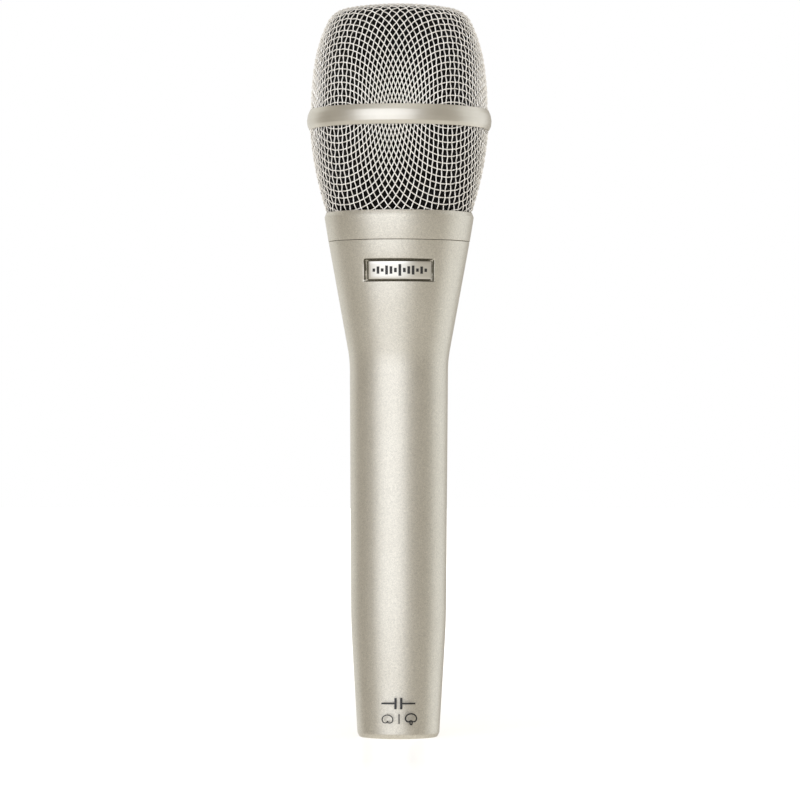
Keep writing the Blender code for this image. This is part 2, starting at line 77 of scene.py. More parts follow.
def reach(node):
    """Largest distance of a turned node from the axis."""
    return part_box(node)[1].x / MM


def middle_xy(node):
    """Middle of a node's box, seen from above."""
    low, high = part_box(node)
    return (low.x + high.x) / 2 / MM, (low.y + high.y) / 2 / MM


# ---- driving dimensions

SHOULDER_Z = top_z("handle_shell")
SHOULDER_R = reach("handle_shell")
CONE_SLOPE = 0.1817  # growth of the flare's radius with height
FLARE_CORNER = (12.84, 98.3)  # where the flare would meet the grip without its fillet
GRIP_FOOT = (12.4, 30.0)
TAIL_CORNER = (10.7, 1.05)
TAIL_FACE_R = 10.12
SOCKET_R = 8.15
SOCKET_DEPTH = low_z("connector_insert") - 0.3
POCKET_R = reach("connector_insert") + 0.3
SET_SCREW_Z = (low_z("insert_set_screw") + top_z("insert_set_screw")) / 2

BADGE_Z = (low_z("badge_plate") + top_z("badge_plate")) / 2
BADGE_HALF = (9.6, 2.95)  # half width along the surface and half height of the recess
BADGE_DEPTH = 0.98

BAND_LOW_Z, BAND_TOP_Z = low_z("grille_band"), top_z("grille_band")
BAND_MID_Z = (BAND_LOW_Z + BAND_TOP_Z) / 2
BAND_R = reach("grille_band")
BAND_BORE_R = 21.6

COLLAR_LOW_Z, COLLAR_TOP_Z = low_z("grille_collar"), top_z("grille_collar")
COLLAR_BORE_R = 17.35
NECK_TOP_Z = top_z("threaded_neck")
NECK_THREAD_R, NECK_ROOT_R = 17.0, 16.45
THREAD_PITCH = 1.0
THREAD_ROWS = 0.1  # height between the rows of points that a thread's relief moves

DOME_EDGE = (22.98, low_z("upper_mesh"))
DOME_ARCS = ((82.0, 8.0), (37.0, 18.3), (5.95, 54.0))  # radius and sweep in degrees, from the edge up
BOWL_TOP = (23.2, top_z("lower_mesh"))
BOWL_LOW = (18.95, low_z("lower_mesh"))
BOWL_BEND = 90.0

WIRE_R = 0.15
WIRE_WAVE = 0.168  # how far a wire's centre swings from the cloth's middle surface
WIRE_DEPTH = 0.16  # the middle surface's depth under the mesh's outline
LINING_R = 0.11
LINING_WAVE = 0.12
LINING_DEPTH = 0.78
PAST_EDGE = (2.0, 5.0, 9.0, 14.0)  # distances at which a cloth's surface is carried on past its edge
DOME_TURN, BOWL_TURN = -2.4, -5.2  # degrees the cloths are turned from facing the badge on their bias
# Wire pitch, the shortest diagonal that shearing leaves a cell (in pitches), and the degrees by which
# pressing drew the net together on its front and back and opened it along its straight wires.
DOME_NET = (1.71, 0.62, 4.0, 0.6)
BOWL_NET = (1.78, 0.64, 7.2, 0.0)
LINING_NET = (1.0, 0.72, 0.0, 0.0)

CAPSULE_R = reach("capsule_sleeve")
LEAD_R, LEAD_SIDES = 0.45, 16


# ---- outlines


def rounded(corners, closed=True, step=math.radians(11)):
    """An outline through (radius, height) corners. A third value rounds that corner with this radius."""
    count = len(corners)
    outline = []
    for i, corner in enumerate(corners):
        here = np.array(corner[:2], float)
        fillet = corner[2] if len(corner) > 2 else 0.0
        if not fillet or (not closed and i in (0, count - 1)):
            outline.append(here)
            continue
        back = np.array(corners[i - 1][:2], float) - here
        ahead = np.array(corners[(i + 1) % count][:2], float) - here
        back_length, ahead_length = np.linalg.norm(back), np.linalg.norm(ahead)
        back, ahead = back / back_length, ahead / ahead_length
        half = math.acos(np.clip(back @ ahead, -1, 1)) / 2
        room = 0.49 * min(back_length, ahead_length)  # just under half of the shorter side
        tangent = min(fillet / math.tan(half), room)
        radius = tangent * math.tan(half)
        middle = (back + ahead) / np.linalg.norm(back + ahead)
        centre = here + middle * radius / math.sin(half)
        sweep = math.pi - 2 * half
        side = here + back * tangent - centre
        turn = math.copysign(1.0, back[0] * ahead[1] - back[1] * ahead[0])
        steps = max(2, math.ceil(sweep / step))
        for n in range(steps + 1):
            a = -turn * sweep * n / steps
            c, s = math.cos(a), math.sin(a)
            outline.append(centre + (side[0] * c - side[1] * s, side[0] * s + side[1] * c))
    return outline


def arc(centre, radius, first, last, count):
    """Points on a circle in the (radius, height) plane, by angle in degrees."""
    angles = np.radians(np.linspace(first, last, count + 1))
    return [(centre[0] + radius * math.cos(a), centre[1] + radius * math.sin(a)) for a in angles]


def dome_outline():
    """Outer face of the upper woven mesh, from the crown down to its lower edge, as tangent arcs."""
    (radius, height), turn = DOME_EDGE, 0.0
    points = [DOME_EDGE]
    for bend, sweep in DOME_ARCS:
        lean = math.radians(turn)
        centre = (radius - bend * math.cos(lean), height - bend * math.sin(lean))
        points += arc(centre, bend, turn, turn + sweep, 24)[1:]
        turn += sweep
        radius, height = points[-1]
    crown_bend = radius / math.cos(math.radians(turn))
    crown_centre = (0.0, height - crown_bend * math.sin(math.radians(turn)))
    points += arc(crown_centre, crown_bend, turn, 90.0, 24)[1:]
    return points[::-1]


def bowl_outline():
    """Outer face of the lower woven mesh, from the band down to the collar, as one shallow arc."""
    low, high = np.array(BOWL_LOW), np.array(BOWL_TOP)
    middle, along = (low + high) / 2, high - low
    half = np.linalg.norm(along) / 2
    towards_axis = np.array((-along[1], along[0])) / (2 * half)
    centre = middle + towards_axis * math.sqrt(BOWL_BEND**2 - half**2)
    first, last = (math.degrees(math.atan2(*(end - centre)[::-1])) for end in (high, low))
    return arc(centre, BOWL_BEND, first, last, 32)


def inset(outline, distance):
    """The outline, given from top to bottom, moved towards the inside along its normals."""
    points = np.array(outline, float)
    along = np.gradient(points, axis=0)
    along /= np.linalg.norm(along, axis=1)[:, None]
    moved = points + np.stack([along[:, 1], -along[:, 0]], 1) * distance
    moved[:, 0] = np.maximum(moved[:, 0], 0.0)
    moved[points[:, 0] == 0.0, 0] = 0.0
    return [tuple(p) for p in moved]


def radius_at(outline, height):
    """Radius of an outline that runs steadily in height."""
    points = np.array(outline, float)
    order = np.argsort(points[:, 1])
    return np.interp(height, points[order, 1], points[order, 0])


# ---- meshes


def unit(vectors):
    return vectors / np.linalg.norm(vectors, axis=-1, keepdims=True)


def mesh_of(name, points, faces):
    mesh = bpy.data.meshes.new(name)
    mesh.from_pydata((np.asarray(points, float) * MM).tolist(), [], faces)
    mesh.shade_smooth()
    mesh.set_sharp_from_angle(angle=SHARP_ANGLE)
    return mesh


def piece(name, shape, body, slot, *nodes, finish=None, tools=()):
    """A piece made of (points, faces) that stands for CAD nodes, if any, and rides a body, if given one.

    The tools, which are (points, faces) too, are cut away from it.
    """
    obj = bpy.data.objects.new(name, mesh_of(name, *shape))
    bpy.context.scene.collection.objects.link(obj)
    obj.data.materials.append(finish or finish_of(slot))
    if nodes:
        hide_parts(*nodes)
    if tools:
        cut(obj, *tools)
    if body:
        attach(obj, body)
    return obj


def lathe(outline, steps=TURN_STEPS, closed=True, relief=None, centre=(0.0, 0.0), angles=None):
    """Points and faces of an outline turned about a vertical axis.

    A ring's outline runs down its outer side and up its bore; an open one starts and ends on the axis.
    relief(angle, radius, height) moves each point outwards.
    """
    if angles is None:
        angles = np.arange(steps) * math.tau / steps
    outline = np.array([p[:2] for p in outline], float)
    angle, radius = np.meshgrid(angles, outline[:, 0])
    height = np.repeat(outline[:, 1:2], len(angles), axis=1)
    if relief is not None:
        radius = radius + relief(angle, radius, height)
    x, y = centre[0] + radius * np.cos(angle), centre[1] + radius * np.sin(angle)
    grid = np.stack([x, y, height], -1)
    points, rows = [], []
    for line, r in zip(grid, outline[:, 0]):
        if r < 1e-6:
            rows.append(np.full(len(angles), len(points)))
            points.append(line[0])
        else:
            rows.append(np.arange(len(points), len(points) + len(angles)))
            points.extend(line)
    faces = []
    for upper, lower in zip(rows, rows[1:] + ([rows[0]] if closed else [])):
        for corners in zip(upper, lower, np.roll(lower, -1), np.roll(upper, -1)):
            distinct = list(dict.fromkeys(int(c) for c in corners))
            if len(distinct) > 2:
                faces.append(distinct)
    return points, faces


def turned(name, outline, body, slot, *nodes, tools=(), **options):
    """A piece turned from an outline. The options are those of lathe."""
    return piece(name, lathe(outline, **options), body, slot, *nodes, tools=tools)


def parts_of(shape):
    """The (points, faces) of a bmesh, which is freed."""
    shape.verts.index_update()
    points = [tuple(v.co) for v in shape.verts]
    faces = [[v.index for v in face.verts] for face in shape.faces]
    shape.free()
    return points, faces


def block(low, high, bevel=0.0):
    """A box between two corners, with rounded edges where bevel is given."""
    low, high = Vector(low), Vector(high)
    shape = bmesh.new()
    bmesh.ops.create_cube(shape, size=1.0)
    bmesh.ops.scale(shape, verts=shape.verts, vec=high - low)
    bmesh.ops.translate(shape, verts=shape.verts, vec=(high + low) / 2)
    if bevel:
        bmesh.ops.bevel(
            shape, geom=shape.edges[:], offset=bevel, segments=3, profile=0.5, affect="EDGES"
        )
    return parts_of(shape)


def cylinder(radius, start, end, sides=SMALL_STEPS, bevel=0.0):
    """A straight cylinder between two points, with rounded rims where bevel is given."""
    axis = Vector(end) - Vector(start)
    length = axis.length
    corners = [(0.0, length), (radius, length, bevel), (radius, 0.0, bevel), (0.0, 0.0)]
    points, faces = lathe(rounded(corners, closed=False), sides, closed=False)
    turn = np.array(axis.to_track_quat("Z", "Y").to_matrix())
    return np.array(points) @ turn.T + np.array(start, float), faces


def cut(obj, *tools):
    """Takes (points, faces) tools away from an object's mesh for good."""
    for number, (points, faces) in enumerate(tools):
        tool = bpy.data.objects.new(f"{obj.name}_tool_{number}", mesh_of("tool", points, faces))
        bpy.context.scene.collection.objects.link(tool)
        boolean = obj.modifiers.new(tool.name, "BOOLEAN")
        boolean.operation, boolean.solver, boolean.object = "DIFFERENCE", "EXACT", tool
        bpy.context.view_layer.update()
        evaluated = obj.evaluated_get(bpy.context.evaluated_depsgraph_get())
        made = bpy.data.meshes.new_from_object(evaluated)
        obj.modifiers.clear()
        obj.data = made
        bpy.data.objects.remove(tool)
    obj.data.shade_smooth()
    obj.data.set_sharp_from_angle(angle=SHARP_ANGLE)
    return obj


def joined(parts):
    """Several (points, faces) meshes as one."""
    points, faces = [], []
    for some_points, some_faces in parts:
        start = len(points)
        points.extend(np.asarray(some_points).tolist())
        faces.extend([[c + start for c in face] for face in some_faces])
    return points, faces


def tube(path, radius, sides, up=None):
    """A round bar with closed ends along a path. up gives each point's reference direction."""
    path = np.asarray(path, float)
    along = unit(np.gradient(path, axis=0))
    if up is None:
        up = np.zeros_like(path)
        up[:, 0] = 1.0
    across = unit(np.cross(along, up))
    up = np.cross(across, along)
    angles = np.arange(sides) * math.tau / sides
    c, s = np.cos(angles)[None, :, None], np.sin(angles)[None, :, None]
    rings = path[:, None] + radius * (c * up[:, None] + s * across[:, None])
    count = len(path)
    starts = np.arange(count - 1)[:, None] * sides
    side = np.arange(sides)[None, :]
    after = (side + 1) % sides
    near, far = starts + side, starts + after
    quads = np.stack([near, near + sides, far + sides, far], -1)
    faces = quads.reshape(-1, 4).tolist()
    faces.append(list(range(sides)))
    faces.append(list(range(count * sides - 1, (count - 1) * sides - 1, -1)))
    return rings.reshape(-1, 3), faces


def smooth_path(points, per_span):
    """A Catmull-Rom path through points."""
    points = np.asarray(points, float)
    padded = np.concatenate([[2 * points[0] - points[1]], points, [2 * points[-1] - points[-2]]])
    a, b, c, d = padded[:-3, None], padded[1:-2, None], padded[2:-1, None], padded[3:, None]
    t = (np.arange(per_span) / per_span)[None, :, None]
    square, cube = 2 * a - 5 * b + 4 * c - d, 3 * b - a - 3 * c + d
    spans = 0.5 * (2 * b + (c - a) * t + square * t**2 + cube * t**3)
    return np.concatenate([spans.reshape(-1, 3), points[-1:]])


# ---- materials


def node(tree, kind, **settings):
    made = tree.nodes.new(kind)
    for key, value in settings.items():
        if key in made.inputs:
            made.inputs[key].default_value = value
        else:
            setattr(made, key, value)
    return made


class Finish:
    """A Principled material in object coordinates, with helpers that take sizes in millimetres."""

    def __init__(self, name, colour, roughness, metallic=0.0, **sockets):
        self.material = bpy.data.materials.new(name)
        self.material.use_nodes = True
        self.tree = self.material.node_tree
        self.shader = self.tree.nodes["Principled BSDF"]
        self.set("Base Color", (*colour, 1.0))
        self.set("Roughness", roughness)
        self.set("Metallic", metallic)
        for socket, value in sockets.items():
            self.set(socket.replace("_", " "), value)
        self.coordinates = node(self.tree, "ShaderNodeTexCoord").outputs["Object"]
        self.material.diffuse_color = (*colour, 1.0)

    def set(self, socket, value):
        self.shader.inputs[socket].default_value = value

    def link(self, output, target):
        self.tree.links.new(output, target)
        return output

    def stretched(self, scale):
        """Coordinates in millimetres multiplied by a scale for each axis."""
        mapping = node(self.tree, "ShaderNodeMapping")
        mapping.inputs["Scale"].default_value = [s / MM for s in scale]
        self.link(self.coordinates, mapping.inputs["Vector"])
        return mapping.outputs["Vector"]

    def noise(self, size, detail=3.0, roughness=0.55, stretch=(1, 1, 1)):
        texture = node(self.tree, "ShaderNodeTexNoise", Scale=1.0, Detail=detail, Roughness=roughness)
        self.link(self.stretched([s / size for s in stretch]), texture.inputs["Vector"])
        return texture.outputs["Fac"]

    def cells(self, size, feature="F1", output="Distance", **settings):
        texture = node(self.tree, "ShaderNodeTexVoronoi", feature=feature, Scale=1.0, **settings)
        self.link(self.stretched([1 / size] * 3), texture.inputs["Vector"])
        return texture.outputs[output]

    def ranged(self, value, low, high, start=0.0, end=1.0):
        """A value between start and end carried over to between low and high."""
        limits = {"From Min": start, "From Max": end, "To Min": low, "To Max": high}
        span = node(self.tree, "ShaderNodeMapRange", **limits)
        self.link(value, span.inputs["Value"])
        return span.outputs["Result"]

    def math(self, operation, first, second):
        made = node(self.tree, "ShaderNodeMath", operation=operation)
        for socket, value in zip(made.inputs, (first, second)):
            if isinstance(value, (int, float)):
                socket.default_value = value
            else:
                self.link(value, socket)
        return made.outputs["Value"]

    def colours(self, factor, *stops):
        """A colour between stops of (place, colour) chosen by a factor."""
        ramp = node(self.tree, "ShaderNodeValToRGB")
        elements = ramp.color_ramp.elements
        while len(elements) < len(stops):
            elements.new(0.5)
        for element, (place, colour) in zip(elements, stops):
            element.position = place
            element.color = (*colour, 1.0)
        self.link(factor, ramp.inputs["Fac"])
        return ramp.outputs["Color"]

    def mixed(self, factor, first, second):
        """A mix of two colours by a factor."""
        ends = {"A": (*first, 1.0), "B": (*second, 1.0)}
        made = node(self.tree, "ShaderNodeMix", data_type="RGBA", **ends)
        self.link(factor, made.inputs["Factor"])
        return made.outputs["Result"]

    def paint(self, colour):
        self.link(colour, self.shader.inputs["Base Color"])
        return self

    def rough(self, value, low, high):
        self.link(self.ranged(value, low, high), self.shader.inputs["Roughness"])
        return self

    def bump(self, height, depth):
        """Bumps of a depth in millimetres on top of any given before."""
        made = node(self.tree, "ShaderNodeBump", Strength=1.0, Distance=depth * MM)
        self.link(height, made.inputs["Height"])
        normal = self.shader.inputs["Normal"]
        if normal.is_linked:
            self.link(normal.links[0].from_socket, made.inputs["Normal"])
        self.link(made.outputs["Normal"], normal)
        return self


def shade(colour, factor):
    return tuple(c * factor for c in colour)


def enamel(name, colour, roughness, metallic):
    """Satin enamel over metal, with fine flake and faint handling marks."""
    made = Finish(name, colour, roughness, metallic, Coat_Weight=0.12, Coat_Roughness=0.35)
    flake = made.cells(0.16, output="Color")
    sparkle = made.math("MULTIPLY", made.ranged(flake, 0.0, 1.0), 0.45)
    mottle = made.math("MULTIPLY", made.noise(0.55, 4.0, 0.7), 0.55)
    blend = made.math("ADD", sparkle, mottle)
    made.paint(made.colours(blend, (0.25, shade(colour, 0.8)), (0.75, shade(colour, 1.16))))
    made.rough(made.noise(9.0, 3.0), roughness - 0.05, roughness + 0.05)
    return made.bump(flake, 0.004).bump(made.noise(0.22, 2.0), 0.006)


def turned_metal(name, colour, roughness, metallic=1.0, spread=0.09, groove=0.003):
    """Metal with fine lathe lines round the axis and slight tarnish."""
    made = Finish(name, colour, roughness, metallic)
    lines = made.noise(1.0, 4.0, 0.6, stretch=(0.02, 0.02, 14.0))
    cloud = made.noise(7.0, 3.0)
    made.paint(made.mixed(cloud, shade(colour, 0.9), shade(colour, 1.08)))
    made.rough(lines, roughness - spread, roughness + spread)
    return made.bump(lines, groove)


def drawn_wire(name, colour, roughness, metallic, coat, specular):
    """Drawn wire under a thin satin paint, dulled here and there."""
    made = Finish(
        name, colour, roughness, metallic,
        Coat_Weight=coat, Coat_Roughness=0.16, Specular_IOR_Level=specular,
    )
    dull = made.noise(1.6, 3.0)
    made.paint(made.colours(dull, (0.3, shade(colour, 0.86)), (0.6, colour)))
    made.rough(made.noise(0.5, 2.0), roughness - 0.07, roughness + 0.1)
    return made.bump(made.noise(0.12, 2.0), 0.004)


def moulded(name, colour, roughness, grain=0.25, depth=0.01, metallic=0.0):
    """Moulded or cast surface with a fine even grain."""
    made = Finish(name, colour, roughness, metallic)
    speck = made.noise(grain, 3.0)
    made.paint(made.mixed(made.noise(4.0, 2.0), shade(colour, 0.82), shade(colour, 1.18)))
    made.rough(speck, roughness - 0.08, roughness + 0.08)
    return made.bump(speck, depth)


def bright_metal(name, colour, roughness):
    """Plated metal with hairline scratches and finger dulling."""
    made = Finish(name, colour, roughness, 1.0)
    hair = made.noise(1.0, 3.0, 0.6, stretch=(9.0, 0.6, 9.0))
    made.paint(made.mixed(made.noise(3.0, 3.0), shade(colour, 0.88), shade(colour, 1.05)))
    made.rough(hair, roughness - 0.06, roughness + 0.12)
    return made.bump(hair, 0.002)


def brushed_plate(name, colour, roughness):
    """Plate brushed along its length, with a faint clear coat."""
    made = Finish(name, colour, roughness, 1.0, Coat_Weight=0.25, Coat_Roughness=0.2)
    brush = made.noise(1.0, 4.0, 0.6, stretch=(0.35, 0.35, 16.0))
    made.paint(made.mixed(brush, shade(colour, 0.88), shade(colour, 1.06)))
    made.rough(brush, roughness - 0.08, roughness + 0.12)
    return made.bump(brush, 0.004)


def foam(name, colour):
    """Open-cell foam: soft strands round pores, with painted shade darkening the pores."""
    made = Finish(name, colour, 0.95, Sheen_Weight=0.02, Sheen_Roughness=0.6, Specular_IOR_Level=0.1)
    strands_and_pore_shade = made.cells(0.55, feature="DISTANCE_TO_EDGE")
    # Painted shade: the colour is darkest in each pore's middle and palest on the strands between them.
    made.paint(made.colours(
        strands_and_pore_shade, (0.0, shade(colour, 2.4)), (0.12, colour), (0.3, shade(colour, 0.25)),
    ))
    pores = made.math("MULTIPLY", strands_and_pore_shade, -1.0)
    return made.bump(pores, 0.5).bump(made.noise(0.9, 3.0), 0.12)


def circuit_board(name, colour):
    """Solder mask over copper tracks."""
    made = Finish(name, colour, 0.32, Coat_Weight=0.3, Coat_Roughness=0.15)
    tracks = made.noise(2.4, 1.0, 0.3, stretch=(1.0, 0.2, 0.35))
    edges = made.math("PINGPONG", tracks, 0.08)
    made.paint(made.colours(
        edges, (0.0, shade(colour, 0.75)), (0.045, colour), (0.06, shade(colour, 1.7)),
    ))
    return made.bump(edges, 0.4).bump(made.noise(0.2, 2.0), 0.003)


def stretched_film(name, colour):
    """Metal-sputtered film, mirror smooth but for faint tension ripples."""
    made = Finish(name, colour, 0.14, 1.0)
    ripple = made.noise(6.0, 2.0, stretch=(1.0, 1.0, 0.2))
    made.paint(made.mixed(made.noise(2.0, 4.0), shade(colour, 0.9), shade(colour, 1.06)))
    made.rough(made.noise(0.4, 3.0), 0.1, 0.22)
    return made.bump(ripple, 0.01)


def shrink_sleeve(name, colour, paler):
    """Glossy shrink sleeve of a capacitor, mottled and slightly wrinkled."""
    made = Finish(name, colour, 0.35, Coat_Weight=0.4, Coat_Roughness=0.2)
    wrinkle = made.noise(1.2, 3.0, stretch=(1.0, 1.0, 0.4))
    made.paint(made.mixed(made.noise(0.6, 2.0), shade(colour, 0.8), paler))
    return made.rough(wrinkle, 0.28, 0.42).bump(wrinkle, 0.02)


def print_ink(name, colour):
    """Screen-printed ink, slightly uneven."""
    made = Finish(name, colour, 0.45)
    grain = made.noise(0.25, 3.0)
    made.paint(made.mixed(grain, shade(colour, 0.6), shade(colour, 1.8)))
    return made.rough(grain, 0.38, 0.55).bump(grain, 0.004)


FINISHES = {  # each slot's kind of material and its settings
    "champagne_paint": (enamel, (0.60, 0.56, 0.475), 0.43, 0.82),
    "champagne_ring": (turned_metal, (0.62, 0.58, 0.50), 0.40, 0.9),
    "badge_metal": (brushed_plate, (0.72, 0.69, 0.62), 0.32),
    "mesh_wire": (drawn_wire, (0.98, 0.93, 0.85), 0.36, 0.3, 0.4, 0.5),
    "lining_wire": (drawn_wire, (0.018, 0.016, 0.014), 0.4, 0.5, 0.0, 0.15),
    "dark_foam": (foam, (0.008, 0.0076, 0.0072)),
    "black_rubber": (moulded, (0.022, 0.022, 0.022), 0.72, 0.3, 0.02),
    "nickel": (turned_metal, (0.62, 0.60, 0.56), 0.30),
    "black_steel": (bright_metal, (0.075, 0.075, 0.08), 0.38),
    "black_plastic": (moulded, (0.03, 0.03, 0.031), 0.46),
    "white_plastic": (moulded, (0.72, 0.71, 0.66), 0.42),
    "gold_contact": (bright_metal, (0.83, 0.61, 0.26), 0.24),
    "gold_film": (stretched_film, (0.90, 0.70, 0.34)),
    "brass": (turned_metal, (0.72, 0.54, 0.27), 0.30),
    "green_board": (circuit_board, (0.03, 0.16, 0.07)),
    "red_film": (moulded, (0.45, 0.06, 0.04), 0.36, 0.5, 0.02),
    "capacitor_sleeve": (shrink_sleeve, (0.03, 0.04, 0.09), (0.05, 0.06, 0.12)),
    "cable_red": (moulded, (0.50, 0.035, 0.03), 0.45, 0.4),
    "cable_black": (moulded, (0.025, 0.025, 0.025), 0.45, 0.4),
    "cable_white": (moulded, (0.72, 0.72, 0.69), 0.45, 0.4),
}
made_finishes = {}


def finish_of(slot):
    """The material of a slot in the record, made the first time it is asked for."""
    if slot not in made_finishes:
        kind, *settings = FINISHES[slot]
        made_finishes[slot] = kind(slot, *settings).material
    return made_finishes[slot]


ink = print_ink("black_ink", (0.012, 0.011, 0.010)).material
# Painted shade: a dark olive finish for the tray in the badge's recess, standing for the shade on the
# recess's walls and floor.
recess_shade_paint = moulded("olive_lacquer", (0.085, 0.075, 0.05), 0.42, 0.3, 0.006, 0.6).material


# ---- woven cloth


class TurnedSurface:
    """A turned surface by its outline, which a point inside it sees whole."""

    def __init__(self, outline, centre_z):
        radius, height = np.array(outline, float).T
        angle = np.arctan2(height - centre_z, radius)
        order = np.argsort(angle)
        self.angles = angle[order]
        self.reach = np.hypot(radius, height - centre_z)[order]
        self.centre = np.array((0.0, 0.0, centre_z))

    def outside(self, points):
        """How far points lie outside the surface, seen from its centre."""
        away = points - self.centre
        level = np.hypot(away[..., 0], away[..., 1])
        limit = np.interp(np.arctan2(away[..., 2], level), self.angles, self.reach)
        return np.linalg.norm(away, axis=-1) - limit

    def snap(self, points):
        """The points moved along their rays from the centre onto the surface."""
        away = points - self.centre
        distance = np.linalg.norm(away, axis=-1)
        return self.centre + away * (1 - self.outside(points) / distance)[..., None]

    def normal(self, points):
        """Outward unit normals, by how far a short step along each axis leads outside."""
        steps = np.eye(3) * 0.05
        slopes = [self.outside(points + step) - self.outside(points - step) for step in steps]
        return unit(np.stack(slopes, -1))


def cloth_crossings(surface, meridian, pitch, tightest, rounds=500):
    """Crossings of wire cloth pressed over a turned surface from its pole, by wire either way.

    They start as a flat cloth folded down round the pole. Each round draws both families of wires
    towards their pitch, keeps the diagonals of the sheared cells from closing past the tightest, evens
    out the wires' bends and puts the crossings back on the surface.
    """
    drive, stiffness = 1.5, 0.15  # shares of the mean pull and of the bends taken up in a round
    meridian = np.array(meridian, float)
    length = np.concatenate([[0], np.cumsum(np.linalg.norm(np.diff(meridian, axis=0), axis=1))])
    count = int(length[-1] / pitch) + 1
    one, other = np.meshgrid(*[np.arange(-count, count + 1)] * 2, indexing="ij")
    away, azimuth = np.hypot(one, other) * pitch, np.arctan2(other, one)
    radius, height = (np.interp(away, length, column) for column in meridian.T)
    crossings = np.stack([radius * np.cos(azimuth), radius * np.sin(azimuth), height], -1)
    real = (away <= length[-1]).astype(float)
    ahead, behind, all_of = slice(1, None), slice(None, -1), slice(None)
    along = (((behind, all_of), (ahead, all_of)), ((all_of, behind), (all_of, ahead)))
    diagonal = (((behind, behind), (ahead, ahead)), ((behind, ahead), (ahead, behind)))
    for _ in range(rounds):
        pull, ties = np.zeros_like(crossings), np.zeros(real.shape)
        for pairs, rest in ((along, pitch), (diagonal, tightest)):
            for a, b in pairs:
                span = crossings[b] - crossings[a]
                gap = np.maximum(np.linalg.norm(span, axis=-1), 1e-9)
                tied = real[a] * real[b] * (1.0 if pairs is along else gap < rest)
                share = (tied * (gap - rest) / gap / 2)[..., None] * span
                pull[a] += share
                pull[b] -= share
                ties[a] += tied
                ties[b] += tied
        crossings = crossings + drive * pull / np.maximum(ties, 1)[..., None]
        bend = np.zeros_like(crossings)
        bend[1:-1] += (crossings[2:] + crossings[:-2]) / 2 - crossings[1:-1]
        bend[:, 1:-1] += (crossings[:, 2:] + crossings[:, :-2]) / 2 - crossings[:, 1:-1]
        inner = real[1:-1, 1:-1] * real[2:, 1:-1] * real[:-2, 1:-1]
        inner = inner * real[1:-1, 2:] * real[1:-1, :-2]
        crossings[1:-1, 1:-1] += stiffness * inner[..., None] * bend[1:-1, 1:-1]
        crossings = surface.snap(crossings)
        crossings[count, count] = (0, 0, meridian[0, 1])
    return crossings


def pressed(crossings, squeeze, spread):
    """The net squeezed on its front and back biases and spread along its straight wires, in degrees.

    Both are strongest at the band's height and fade towards the pole.
    """
    x, y, z = np.moveaxis(crossings, -1, 0)
    level = np.hypot(x, y)
    share = level**2 / (level**2 + (z - BAND_MID_Z) ** 2)
    azimuth = np.arctan2(y, x)
    squeezed = math.radians(squeeze) * np.cos(2 * azimuth)
    azimuth = azimuth + share * (squeezed + math.radians(spread) * np.sin(4 * azimuth))
    return np.stack([level * np.cos(azimuth), level * np.sin(azimuth), z], -1)


def turned_about_axis(points, degrees):
    c, s = math.cos(math.radians(degrees)), math.sin(math.radians(degrees))
    return points @ np.array(((c, s, 0), (-s, c, 0), (0, 0, 1)))


def wires(surface, crossings, heights, radius, wave, per_span, sides):
    """The two families of a plain weave as (points, faces), each wire kept between two heights."""
    normals = surface.normal(crossings)
    index = np.arange(len(crossings))
    over = np.where((index[:, None] + index[None, :]) % 2, -wave, wave)[..., None] * normals
    families = []
    for woven in (crossings + over, np.swapaxes(crossings - over, 0, 1)):
        bars = []
        for line in woven:
            path = smooth_path(line, per_span)
            kept = (path[:, 2] > heights[0]) & (path[:, 2] < heights[1])
            kept[[0, -1]] = False
            ends = np.flatnonzero(np.diff(kept.astype(int)))
            for start, end in zip(ends[::2] + 1, ends[1::2] + 1):
                if end - start > 2:
                    run = path[start:end]
                    bars.append(tube(run, radius, sides, surface.normal(run)))
        families.append(joined(bars))
    return families


def cloth(part, outline, centre_z, heights, slot, net, wire, turn):
    """A mesh part's woven wire cloth on a turned surface, a piece for each family of wires."""
    pitch, tightest, squeeze, spread = net
    surface = TurnedSurface(outline, centre_z)
    crossings = cloth_crossings(surface, outline, pitch, pitch * tightest)
    crossings = pressed(crossings, squeeze, spread)
    crossings = turned_about_axis(crossings, 45.0 + turn)  # so that a bias of the cloth faces the badge
    families = wires(surface, crossings, heights, *wire)
    for family, shape, stands_for in zip(("warp", "weft"), families, ((part,), ())):
        piece(f"{part}_woven_{family}", shape, "grille", slot, *stands_for)


def dome_middle(depth):
    """The dome's outline at a depth, from the pole down, carried on past its edge."""
    outline = inset(dome_outline(), depth)
    radius, edge = outline[-1]
    return outline + [(radius, edge - step) for step in PAST_EDGE]


def bowl_middle(depth):
    """The bowl's outline at a depth, from a flat pole under the collar up past the band.

    Under the collar the cloth would close in a rounded bottom, which the collar's ring cuts off.
    """
    outline = inset(bowl_outline(), depth)[::-1]
    low, above = np.array(outline[0]), np.array(outline[1])
    lean = math.atan2(above[0] - low[0], above[1] - low[1])
    corner = 5.0 - depth  # radius of the bottom's rounded edge
    centre = low + np.array((-math.cos(lean), math.sin(lean))) * corner
    bottom = arc(centre, corner, -90.0, -math.degrees(lean), 16)
    flat = [(bottom[0][0] * share, bottom[0][1]) for share in (0.0, 0.25, 0.5, 0.75)]
    top = np.array(outline[-1])
    slope = unit(top - np.array(outline[-2]))
    return flat + bottom + outline[1:] + [tuple(top + slope * step) for step in PAST_EDGE]


